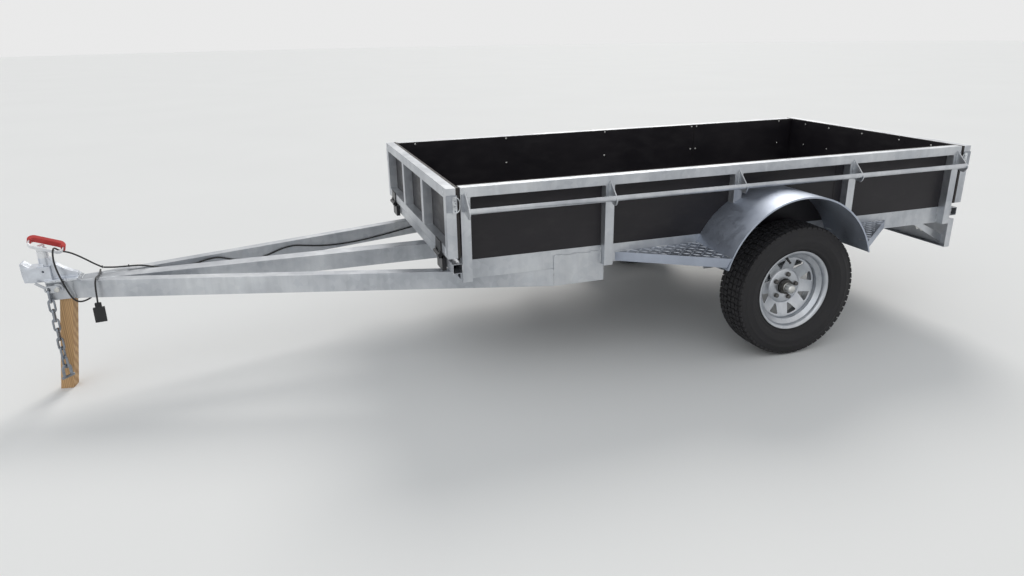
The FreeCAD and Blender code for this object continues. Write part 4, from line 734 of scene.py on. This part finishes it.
def flatPattern(name, outline, holes, thick, edge):
    # a sheet with softened edges, cut to an outline in X and Y
    curve = bpy.data.curves.new(name, "CURVE")
    curve.dimensions = "2D"
    curve.fill_mode = "BOTH"
    for points in (outline, *holes):
        spline = curve.splines.new("POLY")
        spline.points.add(len(points) - 1)
        for point, (x, y) in zip(spline.points, points):
            point.co = (x, y, 0, 1)
        spline.use_cyclic_u = True
    curve.extrude = thick / 2 - edge
    curve.bevel_depth = edge
    curve.offset = -edge
    curve.bevel_resolution = 1
    return kept(meshOf(placed(name, curve)))


def boxPattern(name, size, edge, steps=2):
    piece = cubeAt((0, 0, 0), size)
    piece.name = name
    addModifier(piece, "BEVEL", width=edge, segments=steps, limit_method="ANGLE")
    return kept(piece)


def rodPattern(name, route, width):
    return kept(meshOf(barAlong(name, route, width, around=3, steps=5)), 60)


def copyTo(source, spot, along=(0, 1, 0), size=(1, 1, 1), facing=None):
    # the copy's own Y runs along the given way, its Z as near as can be to facing
    piece = duplicated(source)
    y = Vector(along).normalized()
    z = Vector(facing or ((1, 0, 0) if abs(y.z) > 0.9 else (0, 0, 1)))
    x = y.cross(z).normalized()
    turn = Matrix((x, y, x.cross(y))).transposed().to_4x4()
    piece.matrix_world = Matrix.Translation(spot) @ turn @ Matrix.Diagonal((*size, 1))
    return settle(piece)


def joined(name, pieces):
    pickOnly(*pieces)
    bpy.ops.object.join()
    piece = bpy.context.object
    piece.name = name
    return piece


def mirroredCopy(source):
    # the same piece on the trailer's other side
    piece = duplicated(source)
    piece.scale = (1, -1, 1)
    settle(piece)
    openMesh()
    bpy.ops.mesh.flip_normals()
    bpy.ops.object.mode_set(mode="OBJECT")
    return piece


def bothSides(name, pieces):
    left = joined(name, pieces)
    return joined(name, [left, mirroredCopy(left)])


def finished(piece, look, body, node=None):
    dress(piece, looks[look])
    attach(piece, body)
    if node:
        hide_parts(node)
    return piece


def ringPoints(middle, radius, count=16):
    turns = [2 * math.pi * step / count for step in range(count)]
    return [(middle[0] + radius * math.cos(turn), middle[1] + radius * math.sin(turn)) for turn in turns]


def roundedRectangle(wide, tall, corner, steps=5):
    points = []
    for quarter, (x, y) in enumerate(((1, 1), (-1, 1), (-1, -1), (1, -1))):
        for step in range(steps + 1):
            turn = math.pi / 2 * (quarter + step / steps)
            points.append((x * (wide / 2 - corner) + corner * math.cos(turn),
                           y * (tall / 2 - corner) + corner * math.sin(turn)))
    return points


# levels and stations that the small pieces share, in metres
frontX, rearX, axleX = 0.45, -2.05, -1.035
railSide, stepTop = 0.612, 0.52
postStations = (0.43, -0.185, -0.8, -1.415, -2.03)
gateLow, gateTop, gateFace = 0.58, 0.86, 0.057
# each gate's body, the end of the tray where it hangs, and the way out of the tray
gates = (("front_gate", frontX, 1), ("rear_gate", rearX, -1))


# wheels: valve, dust cap, and nuts on their studs

wheelTrim = {"nutCircle": 0.057, "nuts": 5, "padFace": -0.009, "nutTurn": 101,
             "valveRadius": 0.156, "valveTurn": 75, "valveOut": 0.0315, "valveLean": 0.85}


def aroundAxle(middle, radius, degrees, out):
    turn = math.radians(degrees)
    return middle[0] + radius * math.cos(turn), middle[1] + out, middle[2] + radius * math.sin(turn)


def makeWheelTrim(side, middle):
    hand = 1 if side == "left" else -1
    nut = turnedPattern("wheelNutPattern", (
        (0.0104, 0.0), (0.0104, 0.0095), (0.01, 0.0108), (0.008, 0.0128), (0.005, 0.0138)), 6)
    collar = turnedPattern("nutSeatPattern", ((0.011, -0.0002), (0.011, 0.0016), (0.0102, 0.0022)), 28)
    dome = turnedPattern("dustCapPattern", (
        (0.0206, 0.009), (0.0222, 0.01), (0.0222, 0.013), (0.0208, 0.0145), (0.0208, 0.035), (0.0203, 0.0395),
        (0.0187, 0.0435), (0.0157, 0.0465), (0.0115, 0.0484), (0.006, 0.0495), (0.0015, 0.0498)), 48)
    valve = turnedPattern("valvePattern", (
        (0.0085, 0.0), (0.008, 0.003), (0.0058, 0.005), (0.0054, 0.02), (0.0042, 0.0215), (0.0042, 0.024),
        (0.0049, 0.0245), (0.0049, 0.032), (0.004, 0.033)), 20)
    body = "wheel_" + side
    nuts = []
    for index in range(wheelTrim["nuts"]):
        turn = wheelTrim["nutTurn"] + 360 / wheelTrim["nuts"] * index
        spot = aroundAxle(middle, wheelTrim["nutCircle"], turn, hand * wheelTrim["padFace"])
        nuts += [copyTo(nut, spot, (0, hand, 0)), copyTo(collar, spot, (0, hand, 0))]
    finished(joined("wheel_nuts_" + side + "_hex", nuts), "darkZinc", body, "wheel_nuts_" + side)
    finished(copyTo(dome, middle, (0, hand, 0)), "brightZinc", body).name = "dust_cap_" + side
    turn = wheelTrim["valveTurn"]
    spot = aroundAxle(middle, wheelTrim["valveRadius"], turn, hand * wheelTrim["valveOut"])
    lean = aroundAxle((0, 0, 0), -wheelTrim["valveLean"], turn, hand)
    finished(copyTo(valve, spot, lean), "plugPlastic", body).name = "valve_" + side


for side in ("left", "right"):
    makeWheelTrim(side, wheelMiddle[side])
print("wheel trim made")


# checker plate on the steps: low bars set crosswise in turn

# arch and reach place the mudguard's feet; out is the step's width there, tips its ends at the tray
checker = {"pitch": 0.03, "edge": 0.012, "arch": -0.98, "reach": 0.346, "tips": (-0.235, -1.686),
           "out": 0.274, "start": 0.014, "postHalf": 0.034, "postReach": 0.055, "flat": 0.42}


def makeChecker():
    bar = turnedPattern("checkerPattern", (
        (0.001, -0.0165), (0.0034, -0.013), (0.005, -0.007), (0.0054, 0.0), (0.005, 0.007), (0.0034, 0.013),
        (0.001, 0.0165)), 10)
    bars = []
    pitch = checker["pitch"]
    for hand, tip in zip((1, -1), checker["tips"]):
        foot = checker["arch"] + hand * checker["reach"]
        for row in range(int(abs(tip - foot) / pitch)):
            x = foot + hand * (checker["start"] + row * pitch)
            allowed = checker["out"] * (tip - x) / (tip - foot)
            for column in range(int(checker["out"] / pitch) + 1):
                y = checker["start"] + column * pitch
                nearPost = (y < checker["postReach"]
                            and any(abs(x - station) < checker["postHalf"] for station in postStations))
                if y + checker["edge"] < allowed and not nearPost:
                    way = 1 if (row + column) % 2 else -1
                    spot = (x, railSide + y, stepTop)
                    bars.append(copyTo(bar, spot, (1, way, 0), (1, 1, checker["flat"])))
    # the bars' brighter look is a painted highlight
    finished(bothSides("checker_bars", bars), "stepSteel", "chassis")


makeChecker()
print("checker plate made")


# welds: one rippled bead, laid end to end along each seam

weldBead = {"long": 0.04, "ripples": 11, "radius": 0.0027, "dip": 0.0006, "tip": 0.0009, "even": 0.94}


def makeBead():
    rings = [(weldBead["tip"], -weldBead["long"] / 2)]
    steps = weldBead["ripples"] * 2
    for step in range(steps + 1):
        radius = weldBead["radius"] - (weldBead["dip"] if step % 2 else 0)
        rings.append((radius, (step / steps - 0.5) * weldBead["long"] * weldBead["even"]))
    rings.append((weldBead["tip"], weldBead["long"] / 2))
    return turnedPattern("weldPattern", rings, 8)


bead = makeBead()


def beadLine(first, last, fat=1.0):
    first, last = Vector(first), Vector(last)
    count = max(1, round((last - first).length / weldBead["long"]))
    step = (last - first) / count
    size = (fat, step.length / weldBead["long"], fat)
    return [copyTo(bead, first + step * (index + 0.5), step, size) for index in range(count)]


# beads of each post: distance from its middle, both ends as (across, up), and how fat
postBeads = (
    (0.0208, (0.6128, 0.482), (0.6128, 0.554), 1.0), (0.0208, (0.617, 0.819), (0.65, 0.819), 1.0),
    (0.0208, (0.5612, 0.48), (0.5612, 0.554), 1.0), (0.0032, (0.6532, 0.759), (0.6532, 0.835), 1.15),
)
# beads of each end rail: distance beyond the tray, and both ends as (across, up)
endBeads = ((0.0008, (0.652, 0.519), (0.652, 0.555)), (0.001, (0.57, 0.516), (0.61, 0.516)))
# other seams: the way each runs (0 along, 1 across, 2 up), its two other places, and its ends
# left side: closing plate, step, spring hangers, drawbar with coupling plate, mudguard
bothFeet = ((0.62, 0.66), (0.835, 0.874))
sideSeams = (
    (0, (0.615, 0.533), ((-0.16, -0.115), (-0.075, -0.033), (0.004, 0.046))),
    (0, (0.6132, 0.5206), ((-0.234, -0.3195), (-0.4315, -0.4855), (-0.5905, -0.63),
                           (-1.335, -1.375), (-1.47, -1.52), (-1.6, -1.67))),
    (0, (0.59, 0.4768), ((-0.735, -0.675), (-1.395, -1.335))),
    (0, (0.0372, 0.4766), ((1.78, 1.946),)), (0, (0.0372, 0.4024), ((1.78, 1.946),)),
    (0, (0.0382, 0.4762), ((1.952, 2.038),)), (0, (0.0455, 0.4835), ((1.927, 2.044),)),
    (1, (-0.634, 0.521), bothFeet), (1, (-1.326, 0.521), bothFeet),
    (2, (-0.1625, 0.619), ((0.48, 0.529),)), (2, (0.05, 0.6178), ((0.404, 0.476),)),
    (2, (1.949, 0.0384), ((0.405, 0.475),)), (2, (1.774, 0.0384), ((0.405, 0.475),)),
    (2, (2.042, 0.0378), ((0.405, 0.474),)),
)
# across the centre line: coupling plate, then the rear end of the centre tube
middleSeams = (
    (1, (1.924, 0.484), ((-0.042, 0.042),)), (1, (1.916, 0.4775), ((-0.042, 0.042),)),
    (1, (2.042, 0.4022), ((-0.035, 0.035),)), (1, (0.409, 0.4766), ((-0.035, 0.035),)),
    (1, (0.451, 0.4766), ((-0.035, 0.035),)),
)


def seamBeads(seams):
    beads = []
    for way, places, runs in seams:
        for run in runs:
            first, last = ((*places[:way], end, *places[way:]) for end in run)
            beads += beadLine(first, last)
    return beads


def makeChassisWelds():
    beads = seamBeads(sideSeams)
    for station in postStations:
        for gap, first, last, fat in postBeads:
            for edge in (station - gap, station + gap):
                if rearX < edge < frontX:
                    beads += beadLine((edge, *first), (edge, *last), fat)
    for end, away in ((frontX, 1), (rearX, -1)):
        for beyond, first, last in endBeads:
            x = end + away * beyond
            beads += beadLine((x, *first), (x, *last))
    welds = bothSides("chassis_welds_sides", beads)
    finished(joined("chassis_welds", [welds] + seamBeads(middleSeams)), "weld", "chassis")


makeChassisWelds()


# seams of a gate: uprights and corners, measured across, in from the top and foot, and out from the tray
gateSeam = {"uprights": (-0.2107, 0.2107), "beside": 0.0208, "rail": 0.0405, "side": 0.611, "corner": 0.612,
            "inner": 0.019, "outer": 0.0004, "short": 0.004, "cornerFrom": 0.002, "cornerTo": 0.0385}


def makeGateWelds(gate, face, away):
    outer = face + away * (gateFace + gateSeam["outer"])
    inner = face + away * gateSeam["inner"]
    stop = outer - away * gateSeam["short"]
    beads = []
    for level, reach in ((gateLow + gateSeam["rail"], 1), (gateTop - gateSeam["rail"], -1)):
        for upright in gateSeam["uprights"]:
            for edge in (upright - gateSeam["beside"], upright + gateSeam["beside"]):
                beads += beadLine((inner, edge, level), (stop, edge, level), 0.9)
        start, end = (level - reach * gateSeam[key] for key in ("cornerFrom", "cornerTo"))
        for hand in (-1, 1):
            side, corner = hand * gateSeam["side"], hand * gateSeam["corner"]
            beads += beadLine((inner, side, level), (stop, side, level), 0.9)
            beads += beadLine((outer, corner, start), (outer, corner, end), 0.7)
    finished(joined(gate + "_welds", beads), "weld", gate)


for gate in gates:
    makeGateWelds(*gate)
print("welds laid")


# bolts: hexagon heads on washers, where a hanger, clamp, lug or brace is held

hexBolt = {"flats": 0.0094, "head": 0.0062, "washer": 0.0118, "seat": 0.0018,
           "lugSpot": (2.001, 0.0662, 0.455)}
# on the left side, as (place, way out): the springs' eyes, their clamps, and the lamp board's brace
boltSpots = [((axleX + end, across, 0.4105), (0, way, 0))
             for end in (-0.33, 0.33) for across, way in ((0.612, 1), (0.553, -1))]
boltSpots += [((axleX + end, across, level), (0, 0, way))
              for end in (-0.03, 0.03) for across in (0.553, 0.612)
              for level, way in ((0.3605, 1), (0.2715, -1))]
boltSpots += [((along, 0.595, level), (0, -1, 0)) for along, level in ((-1.92, 0.46), (-1.948, 0.448))]


def makeBolts():
    flats, seat = hexBolt["flats"], hexBolt["seat"]
    head = turnedPattern("hexHeadPattern", (
        (flats, seat), (flats, seat + hexBolt["head"] * 0.8), (flats * 0.88, seat + hexBolt["head"])), 6)
    washer = turnedPattern("washerPattern", (
        (hexBolt["washer"], -0.0003), (hexBolt["washer"], 0.0015), (hexBolt["washer"] - 0.0006, 0.0021)), 32)
    stud = turnedPattern("studPattern", ((0.0048, 0.0), (0.0048, 0.0105), (0.004, 0.0115)), 16)
    bolts = [copyTo(part, spot, way) for spot, way in boltSpots for part in (head, washer, stud)]
    sides = bothSides("chassis_bolts_sides", bolts)
    lugBolt = copyTo(head, hexBolt["lugSpot"], (0, 1, 0), (1.15, 1, 1.15))
    finished(joined("chassis_bolts", [sides, lugBolt]), "brightZinc", "chassis")


makeBolts()
print("bolts set")


# rivets through the linings: places along the trailer, and the two rows' heights

rivets = {"along": (-0.152, -0.756, -1.333, -1.367, -1.96, 0.36), "rows": (0.849, 0.715),
          "lining": 0.6, "gateAcross": (-0.469, -0.264, 0.0, 0.264, 0.469),
          "gateRows": (0.838, 0.715), "gateLining": 0.005}


def makeRivets():
    dome = turnedPattern("rivetPattern", (
        (0.0052, -0.0004), (0.0052, 0.0003), (0.0046, 0.001), (0.003, 0.0017), (0.001, 0.002)), 16)
    sides = [copyTo(dome, (along, rivets["lining"], row), (0, -1, 0))
             for along in rivets["along"] for row in rivets["rows"]]
    finished(bothSides("lining_rivets", sides), "brightZinc", "chassis")
    for gate, face, away in gates:
        domes = [copyTo(dome, (face + away * rivets["gateLining"], across, row), (-away, 0, 0))
                 for across in rivets["gateAcross"] for row in rivets["gateRows"]]
        finished(joined(gate + "_rivets", domes), "brightZinc", gate)


makeRivets()
print("rivets set")


# latches: a pierced catch on each gate's latch plate, with a bow that reaches over the gap

latch = {
    "outline": ((0.0165, -0.0345), (0.0165, 0.028), (0.014, 0.031), (0.0, 0.033), (-0.001, 0.028),
                (0.001, 0.02), (-0.001, 0.012), (0.0, 0.002), (-0.002, -0.012), (-0.002, -0.03),
                (0.002, -0.035), (0.012, -0.037)),
    "holes": ((0.006, 0.0155, 0.0026), (0.005, 0.005, 0.0026), (0.006, -0.0245, 0.0034)),
    "slot": (0.007, -0.006, 0.0095, 0.0032), "thick": 0.004, "edge": 0.0006,
    "bow": ((0.004, 0.002, 0.03), (-0.005, 0.002, 0.027), (-0.0115, 0.002, 0.016),
            (-0.013, 0.002, 0.002), (-0.0125, 0.002, -0.012), (-0.009, 0.002, -0.027),
            (0.004, 0.002, -0.032)),
    "bowWidth": 0.0042, "beyond": 0.017, "across": 0.659, "level": 0.796, "bowAcross": 0.658,
    "pinBeyond": 0.012, "pinAcross": 0.657, "pinLevels": (0.816, 0.774),
}


def makeLatches():
    x, y, wide, tall = latch["slot"]
    slot = [(x + px, y + py) for px, py in roundedRectangle(wide, tall, tall / 2 - 0.0001)]
    holes = [ringPoints((x, y), radius) for x, y, radius in latch["holes"]] + [slot]
    catch = flatPattern("catchPattern", latch["outline"], holes, latch["thick"], latch["edge"])
    bow = rodPattern("bowPattern", latch["bow"], latch["bowWidth"])
    pin = turnedPattern("catchPinPattern", ((0.004, 0.0), (0.004, 0.0052), (0.003, 0.0062)), 16)
    for gate, face, away in gates:
        plane = face + away * latch["beyond"]
        pieces = [
            copyTo(catch, (plane, away * latch["across"], latch["level"]), (0, 0, 1), facing=(0, -away, 0)),
            copyTo(bow, (plane, away * latch["bowAcross"], latch["level"]), (0, away, 0)),
        ]
        for level in latch["pinLevels"]:
            spot = (plane + away * latch["pinBeyond"], away * latch["pinAcross"], level)
            pieces.append(copyTo(pin, spot, (0, away, 0)))
        finished(bothSides(gate + "_catches", pieces), "weld", gate)


makeLatches()
print("latches made")


# tail lamps and number plate

lampSet = {"back": -2.083, "middle": (0.505, 0.427), "wide": 0.22, "tall": 0.086, "deep": 0.0225,
           "base": 0.008, "edge": 0.003, "ribGap": 0.0098, "screwIn": 0.0085, "screwOut": 0.055}
screwRings = ((0.0034, 0.0), (0.0034, 0.0008), (0.0024, 0.0018), (0.0008, 0.0022))
# lens: its look, then its width, shift and ribs' width as parts of the lamp's width
lenses = {"red": ("redLens", 0.62, -0.18, 0.56), "amber": ("amberLens", 0.34, 0.315, 0.29)}
# the plate, and the outer and inner edge of its raised border: each as inset and corner
numberPlate = {"wide": 0.372, "tall": 0.11, "edges": ((0, 0.012), (0.003, 0.01), (0.007, 0.008)),
               "screws": (-0.15, 0.15)}


def makeLamps():
    back, (across, level) = lampSet["back"], lampSet["middle"]
    wide, tall, deep, thick = (lampSet[key] for key in ("wide", "tall", "deep", "base"))
    base = boxPattern("lampBasePattern", (thick, wide, tall), 0.002, 3)
    finished(bothSides("lamp_bases", [copyTo(base, (back - thick / 2, across, level))]),
             "plugPlastic", "chassis", "tail_lamps")
    rib = turnedPattern("lensRibPattern", ((0.0006, -0.5), (0.0013, -0.49), (0.0013, 0.49), (0.0006, 0.5)), 8)
    front = back - deep
    for name, (look, part, shift, ribPart) in lenses.items():
        size = (deep - thick, wide * part, tall - 2 * lampSet["edge"])
        lens = boxPattern(name + "LensPattern", size, 0.0045, 4)
        middle = across + wide * shift
        pieces = [copyTo(lens, (back - thick - (deep - thick) / 2, middle, level))]
        for step in range(-3, 4):
            spot = (front + 0.0008, middle, level + step * lampSet["ribGap"])
            pieces.append(copyTo(rib, spot, size=(1, wide * ribPart, 1)))
        finished(bothSides("lamp_" + name + "_lenses", pieces), look, "chassis", "tail_lamps")
    red, amber = (across + wide * lenses[name][2] for name in ("red", "amber"))
    high = tall / 2 - lampSet["screwIn"]
    screw = turnedPattern("screwPattern", screwRings, 16)
    screws = [copyTo(screw, (front + 0.0004, spot, level + side * high), (-1, 0, 0))
              for spot in (red - lampSet["screwOut"], red + lampSet["screwOut"], amber) for side in (-1, 1)]
    finished(bothSides("lamp_screws", screws), "brightZinc", "chassis")
    makePlate(back, level, screw)


def makePlate(back, level, screw):
    outline, border, inside = (
        roundedRectangle(numberPlate["wide"] - 2 * inset, numberPlate["tall"] - 2 * inset, corner)
        for inset, corner in numberPlate["edges"])
    sheet = flatPattern("platePattern", outline, [], 0.0016, 0.0005)
    rim = flatPattern("plateRimPattern", border, [inside], 0.001, 0.0003)
    plate = joined("number_plate_blank", [
        copyTo(piece, (back - out, 0, level), (0, 0, 1), facing=(-1, 0, 0))
        for piece, out in ((sheet, 0.001), (rim, 0.0019))])
    finished(plate, "whitePlate", "chassis", "number_plate")
    screws = [copyTo(screw, (back - 0.0017, spot, level), (-1, 0, 0), (1.3, 1, 1.3))
              for spot in numberPlate["screws"]]
    finished(joined("plate_screws", screws), "brightZinc", "chassis")


makeLamps()
print("lamps and plate made")


# plug ribs, and the ties that hold the cable

# each tie's place, and the way the cable runs there
ties = (
    ((1.8475, -0.062, 0.4953), (1, 0.1, 0.3)), ((1.748, -0.07, 0.4862), (1, 0, 0)),
    ((-0.58, -0.53, 0.4695), (1, 0, 0)), ((-0.98, -0.53, 0.4685), (1, 0, 0)),
    ((-1.38, -0.53, 0.469), (1, 0, 0)), ((-1.78, -0.53, 0.469), (1, 0, 0)),
)
tieBand = ((0.0036, -0.0018), (0.0047, -0.0018), (0.0047, 0.0018), (0.0036, 0.0018))
tieLock = {"size": (0.0046, 0.0042, 0.0034), "above": 0.0056}
plugRib = {"size": (0.0252, 0.0182, 0.0022), "spot": (1.862, 0.086), "turn": 8,
           "levels": (0.369, 0.3735, 0.378, 0.3825)}


def makeCableTrim():
    band = kept(ringOut("tiePattern", (0, 0, 0), tieBand, 24), 40)
    lock = boxPattern("tieHeadPattern", tieLock["size"], 0.0006)
    pieces = []
    for spot, way in ties:
        pieces.append(copyTo(band, spot, way))
        pieces.append(copyTo(lock, Vector(spot) + Vector((0, 0, tieLock["above"])), way))
    finished(joined("cable_ties", pieces), "cable", "chassis")
    rib = boxPattern("plugRibPattern", plugRib["size"], 0.0008)
    turn = math.radians(plugRib["turn"])
    way = (-math.sin(turn), math.cos(turn), 0)
    ribs = [copyTo(rib, (*plugRib["spot"], level), way) for level in plugRib["levels"]]
    return finished(joined("plug_ribs", ribs), "plugPlastic", "chassis")


plugRibs = makeCableTrim()
print("cable trim made")

for pattern in patterns:
    bpy.data.objects.remove(pattern)


# studio: pale floor, white surround, a soft lamp from behind and a fill from the front

studio = {"floorTone": (0.84, 0.84, 0.83), "floorReach": 60,
          "worldTone": (0.95, 0.975, 1.0), "worldLight": 0.6, "seen": 0.82}
# name, direction it shines from, softness in degrees, strength, tone
lamps = (
    ("backSoftLight", (-0.42, -0.74, 0.7), 24, 1.25, (1.0, 0.975, 0.94)),
    ("frontFill", (0.6, 0.75, 0.62), 60, 0.45, (0.93, 0.97, 1.0)),
)


def makeStudio():
    bpy.ops.mesh.primitive_circle_add(vertices=96, radius=studio["floorReach"], fill_type="NGON")
    floor = bpy.context.object
    floor.name = "studioFloor"
    look, tree, shader = startLook("studioFloorPaint", Roughness=0.75)
    place = objectPlace(tree)
    low = [c * 0.985 for c in studio["floorTone"]]
    tree.links.new(ramp(tree, noise(tree, place, 0.6, 2), (0.3, low), (0.7, studio["floorTone"])),
                   shader.inputs["Base Color"])
    shader.inputs["Specular IOR Level"].default_value = 0.1
    dress(floor, look)
    world = bpy.data.worlds.new("studioSurround")
    bpy.context.scene.world = world
    world.use_nodes = True
    tree = world.node_tree
    tree.nodes.clear()
    path = put(tree, "ShaderNodeLightPath")
    seenBy = [path.outputs["Is " + kind + " Ray"] for kind in ("Camera", "Glossy", "Transmission")]
    direct = put(tree, "ShaderNodeMath", {0: seenBy[0], 1: seenBy[1]}, operation="MAXIMUM")
    shown = put(tree, "ShaderNodeMath", {0: direct.outputs[0], 1: seenBy[2]}, operation="MAXIMUM")
    light = put(tree, "ShaderNodeBackground", values={"Color": studio["worldTone"] + (1,),
                                                      "Strength": studio["worldLight"]})
    seen = put(tree, "ShaderNodeBackground", values={"Color": white + (1,), "Strength": studio["seen"]})
    blend = put(tree, "ShaderNodeMixShader", {0: shown.outputs[0], 1: light.outputs[0], 2: seen.outputs[0]})
    put(tree, "ShaderNodeOutputWorld", {"Surface": blend.outputs[0]})
    for name, spot, softness, power, tone in lamps:
        bpy.ops.object.light_add(type="SUN", location=[4 * value for value in spot])
        lamp = bpy.context.object
        lamp.name = name
        lamp.data.angle = math.radians(softness)
        lamp.data.energy = power
        lamp.data.color = tone
        lamp.rotation_mode = "QUATERNION"
        lamp.rotation_quaternion = (-Vector(spot)).to_track_quat("-Z", "Y")
    bpy.context.scene.view_settings.view_transform = "Standard"


makeStudio()
print("studio set")
